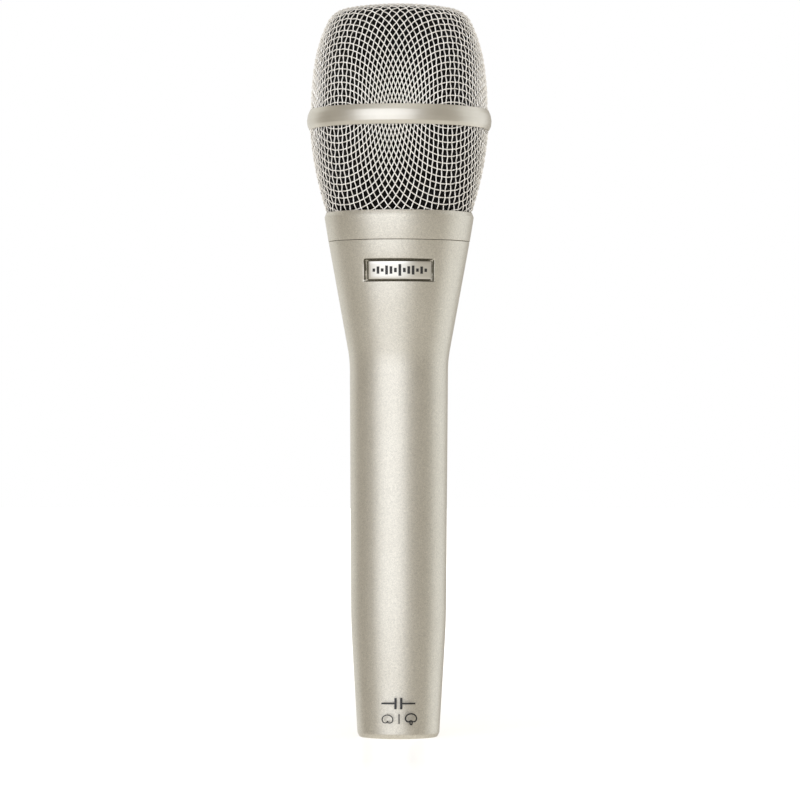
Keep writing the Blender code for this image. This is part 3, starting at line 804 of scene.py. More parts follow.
def woven_grille():
    """The outer mesh and its lining, each a dome and a bowl whose edges end inside the band."""
    in_band, over_crown = 0.9, 1.0
    dome_heights = (BAND_TOP_Z - in_band, top_z("upper_mesh") + over_crown)
    bowl_top = BAND_LOW_Z + in_band
    bowl_centre = BAND_LOW_Z - 9.0
    outer_wire = (WIRE_R, WIRE_WAVE, 4, 8)  # radius, wave, points for each crossing, and sides
    inner_wire = (LINING_R, LINING_WAVE, 2, 4)
    # The foot is the bowl's lower edge from the collar's top, and the turn adds to the cloths' own.
    for layer, depth, slot, dome_net, bowl_net, wire, foot, turn in (
        ("mesh", WIRE_DEPTH, "mesh_wire", DOME_NET, BOWL_NET, outer_wire, -1.0, 0.0),
        ("lining", LINING_DEPTH, "lining_wire", LINING_NET, LINING_NET, inner_wire, 0.1, 9.0),
    ):
        cloth(
            f"upper_{layer}", dome_middle(depth), BAND_MID_Z, dome_heights, slot, dome_net, wire,
            DOME_TURN + turn,
        )
        cloth(
            f"lower_{layer}", bowl_middle(depth), bowl_centre, (COLLAR_TOP_Z + foot, bowl_top),
            slot, bowl_net, wire, BOWL_TURN + turn,
        )


def foam_liner():
    """Cellular foam that lines the grille from its crown to the collar."""
    behind_lining, thickness, band_gap, longest_step = 0.38, 2.0, 0.35, 0.7
    coarse, fine, fine_share, roughness = 0.9, 2.1, 0.6, 0.07
    depth = LINING_DEPTH + behind_lining
    bowl = inset(bowl_outline(), depth)
    outer = inset(dome_outline(), depth)[::2] + bowl[1:-1:2] + [bowl[-1]]
    outer = [(min(r, BAND_BORE_R - band_gap), z) for r, z in outer]
    dense = [outer[0]]
    for last, this in zip(outer, outer[1:]):
        pieces = max(1, round(math.dist(last, this) / longest_step))
        span = np.array(this) - last
        dense += [tuple(np.array(last) + span * n / pieces) for n in range(1, pieces + 1)]
    inner = [(max(r, 0.0), z) for r, z in inset(dense, thickness)]
    inner[0] = (0.0, dense[0][1] - thickness)
    shell = dense + inner[::-1]

    def pores(angle, radius, height):
        flat = np.stack([radius * np.cos(angle), radius * np.sin(angle), height], -1).reshape(-1, 3)
        lumps = [
            noise.noise(Vector(p) * coarse) + fine_share * noise.noise(Vector(p) * fine) for p in flat
        ]
        return roughness * np.array(lumps).reshape(angle.shape) * (radius > 1.0)

    obj = turned(
        "foam_liner_cellular", shell, "windscreen", "dark_foam", "foam_liner", closed=False,
        relief=pores,
    )


# ---- collar and band


def threads(root, height, low, top, phase=0.0):
    """Relief of a right-hand thread whose ridges rise from a root radius between two heights."""
    slope, ridge_width, run_out = 1.6, 0.95, 0.5

    def relief(angle, radius, z):
        turn = z / THREAD_PITCH - angle / math.tau + phase
        from_crest = 2 * np.abs(turn - np.floor(turn) - 0.5) / ridge_width
        ridge = np.clip(slope * (1 - from_crest), 0, 1)
        fade = np.clip((z - low) / run_out, 0, 1) * np.clip((top - z) / run_out, 0, 1)
        at_root = np.abs(radius - root) < 0.02
        return np.where(at_root, ridge * fade * height, 0.0)
    return relief


def collar():
    """The threaded ring, with a groove that holds the mesh and a counterbore for the gasket."""
    top, low = COLLAR_TOP_Z, COLLAR_LOW_Z - 0.2
    groove_inner, groove_outer, groove_floor = 17.72, 19.0, top - 1.5
    seat_r, seat_z = 17.95, 130.7
    thread_low, thread_depth = 131.4, 0.24
    outer = rounded([
        (groove_outer, top, 0.06), (19.08, top, 0.15), (19.5, top - 1.15, 0.15), (18.46, low, 0.14),
        (seat_r, low, 0.1), (seat_r, seat_z), (COLLAR_BORE_R, seat_z),
    ], closed=False)
    bore = [(COLLAR_BORE_R, z) for z in np.arange(130.9, top - 0.15, THREAD_ROWS)]
    crest = rounded([
        (COLLAR_BORE_R, top - 0.1), (COLLAR_BORE_R, top, 0.1), (groove_inner, top, 0.08),
        (groove_inner, groove_floor), (groove_outer, groove_floor),
    ], closed=False)
    turned(
        "grille_collar_ring", outer + bore + crest, "grille", "champagne_paint", "grille_collar",
        relief=threads(COLLAR_BORE_R, -thread_depth, thread_low, top - 0.4, 0.5),
    )


def band():
    """The band between the two meshes, widest at a soft crease under its middle."""
    top, low = BAND_TOP_Z, BAND_LOW_Z
    slot_inner, slot_depth = 21.9, 1.4  # the slots that hold the meshes' edges
    upper_slot, lower_slot = DOME_EDGE[0] + 0.1, BOWL_TOP[0] + 0.08
    side = rounded([
        (upper_slot, top), (upper_slot + 0.22, top, 0.1), (23.92, top - 1.4, 2.2),
        (BAND_R, BAND_MID_Z - 0.3, 0.5), (23.98, low + 1.0, 1.2), (lower_slot + 0.22, low, 0.14),
        (lower_slot, low),
    ], closed=False, step=math.radians(5))
    outline = side + [
        (lower_slot, low + slot_depth), (slot_inner, low + slot_depth), (slot_inner, low),
        (BAND_BORE_R, low), (BAND_BORE_R, top), (slot_inner, top), (slot_inner, top - slot_depth),
        (upper_slot, top - slot_depth),
    ]
    turned("grille_band_ring", outline, "grille", "champagne_ring", "grille_band")


def gasket():
    """A flat rubber ring that stays in the collar's counterbore and clears the neck's thread."""
    low, top = low_z("grille_gasket"), top_z("grille_gasket")
    inner, outer, edge = 17.14, 17.76, 0.28
    turned(
        "grille_gasket_ring",
        rounded([(outer, top, edge), (outer, low, edge), (inner, low, edge), (inner, top, edge)]),
        "windscreen", "black_rubber", "grille_gasket",
    )


# ---- handle


def cone_radius(height):
    return SHOULDER_R + CONE_SLOPE * (height - SHOULDER_Z)


RECESS_WALL = (  # distance in from the recess's edge, and depth there
    (-0.22, 0.0), (-0.08, 0.015), (0.0, 0.07), (0.07, 0.17), (0.5, BADGE_DEPTH - 0.14),
    (0.58, BADGE_DEPTH - 0.04), (0.7, BADGE_DEPTH),
)


def handle_outline():
    """Outer side of the handle from the shoulder down to the tail's face."""
    badge_rows = []
    for inward, _ in RECESS_WALL:
        badge_rows += [BADGE_Z + BADGE_HALF[1] - inward, BADGE_Z - BADGE_HALF[1] + inward]
    badge_rows += list(np.linspace(BADGE_Z - 2.0, BADGE_Z + 2.0, 5))
    flare = [(cone_radius(z), z) for z in sorted(badge_rows, reverse=True)]
    shoulder = rounded([
        (SHOULDER_R - 1.0, SHOULDER_Z), (SHOULDER_R, SHOULDER_Z, 0.14), (cone_radius(126.0), 126.0)
    ], closed=False)
    grip = rounded([
        (cone_radius(112.0), 112.0), (*FLARE_CORNER, 32.0), (*GRIP_FOOT, 150.0), (*TAIL_CORNER, 1.3),
        (TAIL_FACE_R, 0.0, 0.3), (SOCKET_R + 0.35, 0.0),
    ], closed=False, step=math.radians(1.2))
    return shoulder + flare + grip


def badge_recess(angle, radius, height):
    """Depth of the bevelled recess for the badge, on the front of the flare."""
    along = np.abs(np.angle(np.exp(1j * (angle + math.pi / 2)))) * radius
    inward = np.minimum(BADGE_HALF[0] - along, BADGE_HALF[1] - np.abs(height - BADGE_Z))
    steps, depths = np.array(RECESS_WALL).T
    on_flare = radius > cone_radius(height) - 0.5  # and not in the bore
    return np.where(on_flare, -np.interp(inward, steps, depths), 0.0)


def handle():
    """The shell, with columns of points close to the recess's walls and even ones elsewhere."""
    radius = cone_radius(BADGE_Z)
    half_front, columns_in_recess, columns_outside = 8.0, 17, 150
    front = []
    for inward, _ in RECESS_WALL:
        front += [(BADGE_HALF[0] - inward) / radius, (inward - BADGE_HALF[0]) / radius]
    edge = max(front)
    front += list(np.linspace(-half_front, half_front, columns_in_recess) / radius)
    rest = np.linspace(edge, math.tau - edge, columns_outside)[1:-1]
    angles = np.sort(np.concatenate([front, rest])) - math.pi / 2
    # The connector's socket and pocket, the bore widening towards the flare, and the neck's seat.
    bore = [
        (SOCKET_R, 0.4), (SOCKET_R, SOCKET_DEPTH), (POCKET_R, SOCKET_DEPTH), (POCKET_R, 21.0),
        (11.0, 29.0), (11.3, 95.0), (12.1, 103.3), (14.1, 117.0), (14.1, 125.0), (15.9, 125.0),
        (15.9, SHOULDER_Z),
    ]
    screw_hole = cylinder(1.55, (0, 8.0, SET_SCREW_Z), (0, 14.0, SET_SCREW_Z), SCREW_STEPS)
    key_slot = block((-1.3, 7.4, -1.0), (1.3, POCKET_R, 12.0))
    turned(
        "handle_enamelled", handle_outline() + bore, "handle", "champagne_paint", "handle_shell",
        relief=badge_recess, angles=angles, tools=(screw_hole, key_slot),
    )


def on_handle(outline, along, height, offset):
    """Points on the front of the handle, by distance along the surface from the middle."""
    radius = radius_at(outline, height)
    angle = along / radius
    out = radius + offset
    return np.stack([out * np.sin(angle), -out * np.cos(angle), height], -1)


def wrapped(outline, columns, rows, outer, inner):
    """A closed patch wrapped round the handle.

    Its outer face is at an offset of outer(along, height), and its inner face at the offset inner.
    """
    along, height = np.meshgrid(columns, rows)
    skin = on_handle(outline, along, height, outer(along, height))
    back = on_handle(outline, along, height, np.full(along.shape, inner))
    across, up = along.shape[1], along.shape[0]
    index = np.arange(across * up).reshape(up, across)
    behind = index + across * up
    faces = []
    for grid, flip in ((index, False), (behind, True)):
        quads = np.stack([grid[:-1, :-1], grid[:-1, 1:], grid[1:, 1:], grid[1:, :-1]], -1)
        quads = quads.reshape(-1, 4)
        faces += (quads[:, ::-1] if flip else quads).tolist()
    rim = np.concatenate([index[0, :-1], index[:-1, -1], index[-1, :0:-1], index[:0:-1, 0]])
    back_rim = rim + across * up
    faces += np.stack([rim, back_rim, np.roll(back_rim, -1), np.roll(rim, -1)], -1).tolist()
    return np.concatenate([skin.reshape(-1, 3), back.reshape(-1, 3)]), faces


FLARE = [(cone_radius(z), z) for z in (130.0, 100.0)]  # its straight side, carried on both ways
PLATE_MIDDLE = (0.22, -0.04)  # the plate sits a little off the recess's middle
PLATE_HALF = (8.66, 2.34)
PLATE_TOP = -0.34
# Inward distances from an edge with the offsets there: the tray's from the flare, the plate's from its top.
TRAY_WALL = ((0.0, -0.06), (0.06, -0.16), (0.42, -0.78), (0.55, -0.84), (0.8, -0.86))
PLATE_EDGE = ((0.0, -0.2), (0.04, -0.09), (0.12, -0.02), (0.22, 0.0))


def lines(half, middle, insets, count):
    """Grid lines across a patch: at the insets from both edges, and a count of them evenly between."""
    ends = [half - inward for inward in insets]
    inside = np.linspace(-ends[-1], ends[-1], count + 2)[1:-1]
    return middle + np.sort(np.concatenate([ends, [-end for end in ends], inside]))


def patch(half, middle, profile, back, count):
    """A closed patch on the flare whose face follows a profile of (inward distance, offset)."""
    insets, offsets = np.array(profile).T

    def face(along, height):
        across = half[0] - np.abs(along - middle[0])
        return np.interp(np.minimum(across, half[1] - np.abs(height - middle[1])), insets, offsets)

    columns = lines(half[0], middle[0], insets, count[0])
    rows = lines(half[1], middle[1], insets, count[1])
    return wrapped(FLARE, columns, rows, face, back)


def badge():
    """Badge plate with rounded edges in a dark tray of painted shade, and a plain waveform in black."""
    # The tray is a dark sheet over the recess's walls and floor: painted shade.
    tray_half = [half - 0.03 for half in BADGE_HALF]
    tray = patch(tray_half, (0.0, BADGE_Z), TRAY_WALL, -BADGE_DEPTH + 0.01, (28, 4))
    piece("badge_tray_lacquered", tray, "handle", "badge_metal", finish=recess_shade_paint)
    centre = (PLATE_MIDDLE[0], BADGE_Z + PLATE_MIDDLE[1])
    edge = [(inward, PLATE_TOP + drop) for inward, drop in PLATE_EDGE]
    plate = patch(PLATE_HALF, centre, edge, -0.88, (28, 5))
    piece("badge_plate_brushed", plate, "handle", "badge_metal", "badge_plate")
    count, spacing, width = 13, 1.17, 0.72
    shortest, rise, beat = 0.42, 1.08, 2.4  # half heights of the bars, and how fast they swell and ebb
    bars = []
    for n in range(count):
        place = n - (count - 1) / 2
        inside = abs(place) < count / 2 - 1
        swell = math.cos(place / (count - 1) * math.pi) ** 0.5 if inside else 0.0
        tall = shortest + rise * swell * (0.5 + 0.5 * math.cos(place * beat))
        columns = centre[0] + place * spacing + np.linspace(-width / 2, width / 2, 3)
        rows = centre[1] + np.linspace(-tall, tall, 7)
        bars.append(wrapped(
            FLARE, columns, rows, lambda a, h: np.full(a.shape, PLATE_TOP + 0.04), PLATE_TOP - 0.05,
        ))
    piece("badge_waveform", joined(bars), "handle", "badge_metal", finish=ink)


def stroke(outline, path, width, closed=False):
    """A flat printed line on the handle's surface, along a path of (along, height) points."""
    path = np.asarray(path, float)
    along = np.roll(path, -1, 0) - np.roll(path, 1, 0) if closed else np.gradient(path, axis=0)
    side = unit(np.stack([-along[:, 1], along[:, 0]], 1)) * width / 2
    count = len(path)
    lift, sink = 0.03, -0.05
    rings = []
    for offset in (lift, sink):
        for edge in (path + side, path - side):
            rings.append(on_handle(outline, edge[:, 0], edge[:, 1], offset))
    points = np.stack(rings, 1).reshape(-1, 3)
    order = (0, 1, 3, 2)
    faces = []
    for k in range(count if closed else count - 1):
        after = (k + 1) % count
        for a, b in zip(order, order[1:] + order[:1]):
            faces.append([4 * k + a, 4 * k + b, 4 * after + b, 4 * after + a][::-1])
    if not closed:
        faces.append(list(order))
        faces.append([4 * (count - 1) + c for c in order[::-1]])
    return points, faces


def lobes(cusp, omni, size, swell):
    """Outline of a pickup pattern aimed up from its cusp, with its omnidirectional share given.

    A swell under 1 fattens the lobes, as such signs are drawn, and a lobe to the rear is slim.
    """
    rear_width = 0.55
    angles = np.linspace(-math.pi / 2, math.pi * 1.5, 160, endpoint=False)
    pickup = omni + (1 - omni) * np.sin(angles)
    pull = np.abs(pickup) ** swell
    width = np.where(pickup < 0, rear_width, 1.0)
    across = cusp[0] + size[0] * width * pull * np.cos(angles)
    return np.stack([across, cusp[1] + size[1] * pull * np.sin(angles)], 1)


def tail_marks():
    """Printed signs near the tail: a capacitor, and the two pickup patterns with a line between."""
    surface = [p for p in handle_outline() if 1.6 < p[1] < 40.0]
    sign_z, plate_half, gap, lead_end = 9.33, 1.45, 0.75, 4.5
    strokes = [((0.17, 4.08), (0.17, 6.58), 0.3)]  # the line's ends and width
    for side in (-1, 1):
        plate, lead = side * gap, side * lead_end
        strokes.append(((plate, sign_z - plate_half), (plate, sign_z + plate_half), 0.6))
        strokes.append(((plate, sign_z), (lead, sign_z), 0.42))
    parts = [
        stroke(surface, np.linspace(*np.array((start, end), float), 12), width)
        for start, end, width in strokes
    ]
    for cusp, omni, size, swell, width in (
        ((-2.86, 4.78), 0.5, (1.82, 1.58), 0.45, 0.27), ((3.33, 4.93), 0.37, (1.95, 1.76), 0.39, 0.36),
    ):
        parts.append(stroke(surface, lobes(cusp, omni, size, swell), width, closed=True))
    piece("tail_marks_printed", joined(parts), "handle", "champagne_paint", finish=ink)


def connector():
    """The insert with its pins' holes, the three socketed pins and the set screw."""
    low, top = low_z("connector_insert"), top_z("connector_insert")
    radius = reach("connector_insert")
    centres = [middle_xy(f"pin_{n}") for n in (1, 2, 3)]
    turned(
        "connector_insert_moulded",
        rounded([
            (0.0, top), (radius, top, 0.3), (radius, 19.2, 0.2), (8.0, 18.9), (8.0, 15.5),
            (radius, 15.2, 0.2), (radius, low, 0.3), (7.4, low, 0.1), (7.2, low + 0.5, 0.1),
            (0.0, low + 0.5),
        ], closed=False),
        "handle", "black_plastic", "connector_insert", steps=INNER_STEPS, closed=False,
        tools=[cylinder(1.35, (x, y, low - 1), (x, y, top + 1)) for x, y in centres],
    )
    pin_low, pin_top = low_z("pin_1"), top_z("pin_1")
    shank, flange, bore = 1.2, 1.35, 0.75
    pin = rounded([
        (0.0, pin_top - 2.4), (bore, pin_top - 2.4), (bore, pin_top, 0.05), (shank, pin_top, 0.1),
        (shank, pin_top - 3.0, 0.1), (flange, pin_top - 3.0, 0.1), (flange, pin_top - 3.6, 0.1),
        (shank, pin_top - 3.6, 0.1), (shank, pin_low + 0.2, 0.9), (0.0, pin_low),
    ], closed=False)
    for n, centre in enumerate(centres, 1):
        turned(
            f"pin_{n}_contact", pin, "handle", "gold_contact", f"pin_{n}",
            steps=SMALL_STEPS, closed=False, centre=centre,
        )
    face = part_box("insert_set_screw")[1].y / MM
    ends = ((0, 8.3, SET_SCREW_Z), (0, face, SET_SCREW_Z))
    hexagon = cylinder(0.75, (0, face - 1.1, SET_SCREW_Z), (0, face + 1, SET_SCREW_Z), 6)
    piece(
        "set_screw_socket", cylinder(1.25, *ends, SCREW_STEPS, 0.18), "handle", "black_steel",
        "insert_set_screw", tools=(hexagon,),
    )


# ---- neck, head plate and switch


def neck():
    """The threaded neck, with a web across it that the head plate is screwed to."""
    low, top = SHOULDER_Z + 0.3, NECK_TOP_Z
    thread_low, thread_top = top - 4.3, top - 0.35
    web_low, web_top = 131.8, 134.3
    outer = rounded([(14.0, top), (NECK_ROOT_R, top, 0.3), (NECK_ROOT_R, top - 0.6)], closed=False)
    outer += [(NECK_ROOT_R, z) for z in np.arange(thread_top, thread_low, -THREAD_ROWS)]
    outer += rounded([
        (NECK_ROOT_R, 131.9), (NECK_ROOT_R, low, 0.15), (15.6, low), (15.6, 125.3, 0.1),
        (14.4, 125.3), (14.4, web_low), (9.6, web_low), (9.6, web_top), (14.0, web_top),
        (14.0, top - 0.3),
    ], closed=False)
    turned(
        "threaded_neck_turned", outer, "handle", "nickel", "threaded_neck",
        relief=threads(NECK_ROOT_R, NECK_THREAD_R - NECK_ROOT_R, thread_low, thread_top),
        tools=head_screw_holes(131.0, 135.0),
    )


def head_screw_holes(low, high):
    places = [middle_xy(f"head_screw_{n}") for n in (1, 2, 3)]
    return [cylinder(1.3, (x, y, low), (x, y, high)) for x, y in places]


def head_plate():
    """The plate over the neck, with a fine groove round it, and its three slotted screws."""
    top, low = top_z("head_plate"), low_z("head_plate")
    radius, bore = reach("head_plate"), 3.5
    turned(
        "head_plate_moulded",
        rounded([
            (bore, top, 0.15), (9.6, top, 0.1), (9.8, top - 0.35, 0.05), (10.1, top - 0.35, 0.05),
            (10.3, top, 0.1), (radius, top, 0.3), (radius, low, 0.2), (bore, low, 0.2),
        ]),
        "handle", "black_plastic", "head_plate", steps=INNER_STEPS,
        tools=head_screw_holes(low - 1, top + 1),
    )
    seat = top + 0.3
    screw = rounded([
        (0.0, seat + 1.3), (1.3, seat + 1.25, 0.8), (2.1, seat + 0.7, 0.25), (2.1, seat, 0.1),
        (1.0, seat), (1.0, 132.4, 0.1), (0.0, 132.0),
    ], closed=False)
    for n in (1, 2, 3):
        x, y = middle_xy(f"head_screw_{n}")
        points, faces = block((-3.0, -0.3, seat + 0.7), (3.0, 0.3, seat + 2.0))
        slot = (turned_about_axis(np.array(points), 35 * n) + (x, y, 0), faces)
        turned(
            f"head_screw_{n}_slotted", screw, "handle", "black_steel", f"head_screw_{n}",
            steps=SCREW_STEPS, closed=False, centre=(x, y), tools=(slot,),
        )


def pattern_switch():
    """The switch's housing with its slot, and the slider with three grip grooves."""
    low, high = (np.array(corner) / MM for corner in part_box("switch_housing"))
    slot = block((-2.1, -11.95, low[2] + 1.3), (2.1, -10.45, high[2] + 1.0))
    piece(
        "switch_housing_moulded", block(low, high, 0.22), "handle", "black_plastic",
        "switch_housing", tools=(slot,),
    )
    low, high = (np.array(corner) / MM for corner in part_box("switch_slider"))
    half_groove, floor = 0.1, high[2] - 0.3
    grooves = [
        block((x - half_groove, low[1] - 1, floor), (x + half_groove, high[1] + 1, high[2] + 1))
        for x in np.linspace(low[0] + 0.4, high[0] - 0.4, 3)
    ]
    piece(
        "switch_slider_ribbed", block(low, high, 0.12), "pattern_slider", "white_plastic",
        "switch_slider", tools=grooves,
    )


# ---- capsule


def shock_mount():
    """The rubber bellows between the neck and the capsule."""
    low, top = low_z("shock_mount"), top_z("shock_mount")
    middle = (low + top) / 2
    mount = turned(
        "shock_mount_bellows",
        rounded([
            (9.0, top, 0.3), (9.0, top - 1.0, 0.3), (6.3, top - 2.0, 0.6), (7.5, middle, 0.7),
            (6.3, low + 2.0, 0.6), (9.0, low + 1.0, 0.3), (9.0, low, 0.3), (4.2, low, 0.2),
            (4.2, low + 1.6, 0.4), (5.0, low + 2.4, 0.6), (6.0, middle, 0.6), (5.0, top - 2.4, 0.6),
            (4.2, top - 1.6, 0.4), (4.2, top, 0.2),
        ]),
        None, "black_rubber", "shock_mount", steps=INNER_STEPS,
    )
    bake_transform(mount)


def capsule_leads():
    """Leads from the board's header through the mount to the capsule."""
    spacing, foot_spacing = 1.9, 2.8
    for n, colour in enumerate(("cable_red", "cable_white", "cable_black"), 1):
        x, foot_x = (n - 2) * spacing, (n - 2) * foot_spacing
        path = smooth_path([
            (foot_x, -2.6, 111.5), (foot_x, -2.5, 114.5), (x * 1.1, -1.6, 123.0), (x, -1.0, 130.0),
            (x, -1.0, 137.0), (x, -1.0, low_z("capsule_cradle") + 1.4),
        ], 8)
        name = f"capsule_lead_{n}"
        lead = piece(f"{name}_insulated", tube(path, LEAD_R, LEAD_SIDES), None, colour, name)
        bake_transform(lead)


def output_leads():
    """Leads from the pins up to the board's header."""
    for n, colour in enumerate(("cable_black", "cable_red", "cable_white"), 1):
        start = np.array((*middle_xy(f"pin_{n}"), top_z(f"pin_{n}") - 1.5))
        end = np.array(((2 - n) * 3.0, -2.4, low_z("output_header") - 0.6))
        t = np.linspace(0, 1, 8)[:, None]
        path = start + (end - start) * np.hstack([t * t * (3 - 2 * t)] * 2 + [t])
        name = f"output_lead_{n}"
        lead = tube(smooth_path(path, 5), LEAD_R, LEAD_SIDES)
        piece(f"{name}_insulated", lead, "handle", colour, name)


def ring_piece(node_name, piece_name, slot, inner, fillet):
    """A plain ring with rounded edges in the capsule, as tall and wide as its node."""
    low, top, outer = low_z(node_name), top_z(node_name), reach(node_name)
    corners = [(outer, top, fillet), (outer, low, fillet), (inner, low, fillet), (inner, top, fillet)]
    turned(piece_name, rounded(corners), "capsule", slot, node_name, steps=INNER_STEPS)


def capsule():
    """The cradle and everything in it: two diaphragms with their plates, rings and screws."""
    floor, top = low_z("capsule_cradle"), top_z("capsule_cradle")
    cup, wall = CAPSULE_R - 0.9, 1.6
    turned(
        "capsule_cradle_cup",
        rounded([
            (CAPSULE_R, top, 0.2), (CAPSULE_R, floor + 2.0), (CAPSULE_R, floor, 1.0),
            (4.2, floor, 0.2), (4.2, floor + wall, 0.2), (cup, floor + wall, 0.2), (cup, top, 0.15),
        ]),
        "capsule", "black_plastic", "capsule_cradle", steps=INNER_STEPS,
    )
    for end in ("rear", "front"):
        ring_piece(f"{end}_clamp_ring", f"{end}_clamp_ring_turned", "brass", 10.5, 0.15)
        ring_piece(f"{end}_diaphragm", f"{end}_diaphragm_film", "gold_film", 0.9, 0.04)
        ring_piece(f"{end}_backplate", f"{end}_backplate_turned", "brass", 0.9, 0.12)
    ring_piece("insulator_ring", "insulator_ring_moulded", "white_plastic", 10.8, 0.15)
    ring_piece("capsule_sleeve", "capsule_sleeve_turned", "nickel", cup, 0.12)
    for end, sign in (("front", 1), ("rear", -1)):
        ends = (low_z(f"{end}_terminal_screw"), top_z(f"{end}_terminal_screw"))
        foot, head = ends[::sign]
        outline = rounded([
            (0.0, head), (1.3, head, 0.3), (1.6, head - sign * 0.6, 0.1), (1.6, head - sign * 0.8),
            (0.6, head - sign * 0.8), (0.6, foot, 0.1), (0.0, foot),
        ], closed=False)
        turned(
            f"{end}_terminal_screw_gilt", outline[::sign], "capsule", "gold_contact",
            f"{end}_terminal_screw", steps=SMALL_STEPS, closed=False,
        )


def capsule_grid():
    """The pierced cap over the capsule, with a hexagonal field of holes.

    Each hole has a rounded opening in one cell of a honeycomb, and the cells share their corners.
    """
    low, top = low_z("capsule_grid"), top_z("capsule_grid")
    spacing, hole, wall = 1.9, 0.62, 0.6
    field = 11.4  # radius of the field of holes
    sides, rim_steps = 12, 144
    outer = rounded([
        (0.0, top), (7.0, top - 0.5, 18.0), (12.0, top - 1.9, 5.0), (CAPSULE_R, top - 3.2, 0.6),
        (CAPSULE_R, low),
    ], closed=False)
    profile = np.array(outer, float).T
    shape = bmesh.new()
    corners = {}

    def level(x, y):
        return np.interp(math.hypot(x, y), *profile)

    def sheet(x, y, depth):
        return shape.verts.new((x, y, level(x, y) - depth))

    def corner(x, y, depth):
        key = (round(x, 3), round(y, 3), depth)
        if key not in corners:
            corners[key] = sheet(x, y, depth)
        return corners[key]

    def hole_rings(cx, cy, depth):
        """The opening's points from 15 degrees on, and its cell's from 30 degrees on."""
        spin = np.arange(sides) * math.tau / sides + math.pi / 12
        opening = [sheet(cx + hole * math.cos(a), cy + hole * math.sin(a), depth) for a in spin]
        size = spacing / math.sqrt(3)
        turns = [math.radians(60 * k + 30) for k in range(7)]
        tips = [np.array((cx + size * math.cos(a), cy + size * math.sin(a))) for a in turns]
        cell = []
        for first, second in zip(tips, tips[1:]):
            cell += [corner(*first, depth), corner(*((first + second) / 2), depth)]
        return opening, cell

    cells = int(field / spacing) + 2
    for row in range(-cells, cells + 1):
        for column in range(-cells, cells + 1):
            cx, cy = (column + 0.5 * (row % 2)) * spacing, row * spacing * math.sqrt(3) / 2
            if math.hypot(cx, cy) > field - spacing / 2:
                continue
            rings = [hole_rings(cx, cy, depth) for depth in (0.0, wall)]
            for k in range(sides):
                one, two = (k + 1) % sides, (k + 2) % sides
                over, under = [
                    (cell[k], cell[one], opening[two], opening[one]) for opening, cell in rings
                ]
                shape.faces.new(over)
                shape.faces.new(under[::-1])
                shape.faces.new((over[3], over[2], under[2], under[3]))

    def lies_at(edge, depth):
        under = sum(level(v.co.x, v.co.y) - v.co.z for v in edge.verts) / 2
        return edge.is_boundary and abs(under - depth) < 0.05

    # The solid margin from the field of holes out to the rim, top and underside.
    borders = {depth: [e for e in shape.edges if lies_at(e, depth)] for depth in (0.0, wall)}
    rims = []
    spin = np.arange(rim_steps) * math.tau / rim_steps
    for depth, border in borders.items():
        circles = []
        for r, z in [p for p in outer if p[0] > field + 0.4]:
            z_here = z - depth if r < CAPSULE_R - 0.05 else z
            inside = r - (depth if z < top - 2.6 else 0.0)
            circle = [(inside * math.cos(a), inside * math.sin(a), z_here) for a in spin]
            circles.append([shape.verts.new(point) for point in circle])
        for upper, lower in zip(circles, circles[1:]):
            for k in range(rim_steps):
                after = (k + 1) % rim_steps
                face = (upper[k], lower[k], lower[after], upper[after])
                shape.faces.new(face[::-1] if depth else face)
        inner = circles[0]
        border = border + [shape.edges.get(pair) for pair in zip(inner, inner[1:] + inner[:1])]
        bmesh.ops.triangle_fill(shape, edges=border, use_beauty=True, use_dissolve=False)
        rims.append(circles[-1])
    for k in range(rim_steps):
        after = (k + 1) % rim_steps
        shape.faces.new((rims[0][k], rims[1][k], rims[1][after], rims[0][after]))
    bmesh.ops.recalc_face_normals(shape, faces=shape.faces[:])
    piece("capsule_grid_pierced", parts_of(shape), "capsule", "nickel", "capsule_grid")


# ---- carried-over CAD nodes


def kept_nodes():
    """Nodes that show their CAD shape get their slot's material."""
    slots = {part["node"]: part["material_slot"] for part in frame["record"]["subparts"]}
    for name, obj in frame["nodes"].items():
        if obj.hide_render:
            continue
        obj.data.materials.clear()
        obj.data.materials.append(finish_of(slots[name]))


# ---- stage


def studio_world(scene):
    """A backdrop that is plain white to the camera and lights the part softly."""
    scene.view_settings.view_transform = "Standard"
    world = bpy.data.worlds.new("studio")
    scene.world = world
    world.use_nodes = True
    tree = world.node_tree
    join = tree.links.new
    background = tree.nodes["Background"]
    direction = node(tree, "ShaderNodeTexCoord").outputs["Generated"]
    split = node(tree, "ShaderNodeSeparateXYZ")
    limits = {"From Min": -0.75, "From Max": -0.15, "To Min": 0.0, "To Max": 1.0}
    span = node(tree, "ShaderNodeMapRange", **limits)
    from_floor, from_room = (1.15, 1.13, 1.07, 1.0), (0.47, 0.442, 0.39, 1.0)
    height = node(tree, "ShaderNodeMix", data_type="RGBA", A=from_floor, B=from_room)
    join(direction, split.inputs[0])
    join(split.outputs["Z"], span.inputs["Value"])
    join(span.outputs["Result"], height.inputs["Factor"])
    join(height.outputs["Result"], background.inputs["Color"])
    white = node(tree, "ShaderNodeBackground", Color=(1, 1, 1, 1), Strength=1.0)
    path = node(tree, "ShaderNodeLightPath")
    mix = node(tree, "ShaderNodeMixShader")
    join(path.outputs["Is Camera Ray"], mix.inputs["Fac"])
    join(background.outputs[0], mix.inputs[1])
    join(white.outputs[0], mix.inputs[2])
    join(mix.outputs[0], tree.nodes["World Output"].inputs["Surface"])


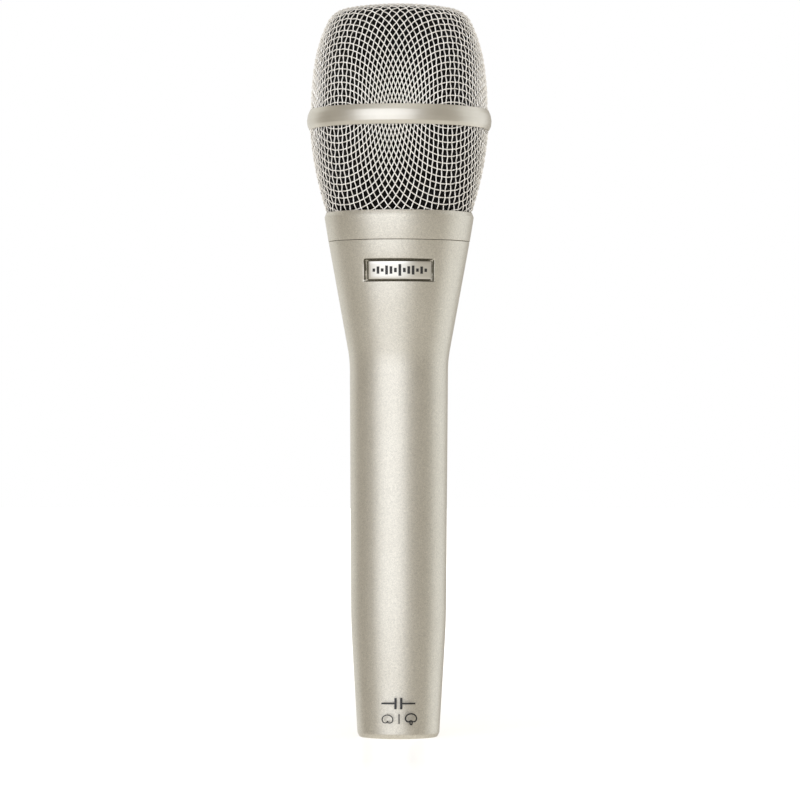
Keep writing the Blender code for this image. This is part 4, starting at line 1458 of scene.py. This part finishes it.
def pale_floor(scene):
    """A round white floor, glossy enough for a faint reflection, which casts no light on the part. It
    glows, dimmest near the part and brighter further out.
    """
    mesh = bpy.data.meshes.new("floor")
    shape = bmesh.new()
    bmesh.ops.create_circle(shape, cap_ends=True, segments=96, radius=3.0)
    shape.to_mesh(mesh)
    shape.free()
    floor = bpy.data.objects.new("floor", mesh)
    scene.collection.objects.link(floor)
    floor.visible_glossy = False
    floor.visible_diffuse = False
    pale = Finish("pale_floor", (0.86, 0.86, 0.86), 0.16)
    # Painted light: the floor glows at half strength near the part, which leaves it darker there, and at
    # full strength from 0.6 m out.
    pale.set("Emission Color", (1, 1, 1, 1))
    away = node(pale.tree, "ShaderNodeVectorMath", operation="LENGTH")
    pale.link(pale.coordinates, away.inputs[0])
    glow = pale.ranged(away.outputs["Value"], 0.5, 1.0, 0.08, 0.6)
    pale.link(glow, pale.shader.inputs["Emission Strength"])
    pale.rough(pale.noise(60.0, 2.0), 0.13, 0.2)
    mesh.materials.append(pale.material)


def aimed(obj, place, target):
    """Puts a light or camera at a place, turned towards a target."""
    bpy.context.scene.collection.objects.link(obj)
    obj.location = place
    aim = Vector(target) - obj.location
    obj.rotation_euler = aim.to_track_quat("-Z", "Y").to_euler()


def studio_lights():
    lights = (  # azimuth from the camera, height, distance, width, tall, power, colour
        ("key_light", -18, 0.35, 1.25, 1.8, 1.5, 14.4, (0.9, 0.97, 1.12)),
        ("right_rim_light", 113, 0.25, 1.1, 1.1, 1.4, 4.2, (0.97, 1.05, 1.16)),
        ("left_rim_light", -145, 0.25, 1.1, 1.0, 1.3, 2.9, (0.96, 1.02, 1.08)),
        ("top_light", 10, 1.5, 0.4, 0.9, 0.9, 3.0, (0.95, 0.98, 1.0)),
    )
    for name, azimuth, height, distance, width, tall, power, colour in lights:
        data = bpy.data.lights.new(name, "AREA")
        data.shape, data.size, data.size_y, data.energy = "RECTANGLE", width, tall, power
        data.color = colour
        light = bpy.data.objects.new(name, data)
        a = math.radians(azimuth)
        aimed(light, (distance * math.sin(a), -distance * math.cos(a), height), (0, 0, 0.11))
        light.visible_camera = False


def stage():
    scene = bpy.context.scene
    studio_world(scene)
    pale_floor(scene)
    studio_lights()
    camera = bpy.data.objects.new("camera", bpy.data.cameras.new("camera"))
    camera.data.lens = 180.0
    place, target = (0.0003, -1.0452, 0.0802), (0.0003, 0.0, 0.0878)
    lean = 0.085  # degrees by which the photographed microphone leans to the right
    aimed(camera, place, target)
    camera.rotation_euler.rotate_axis("Z", math.radians(lean))
    scene.camera = camera


woven_grille()
foam_liner()
collar()
band()
gasket()
handle()
badge()
tail_marks()
connector()
neck()
head_plate()
pattern_switch()
shock_mount()
capsule()
capsule_grid()
capsule_leads()
output_leads()
kept_nodes()
stage()
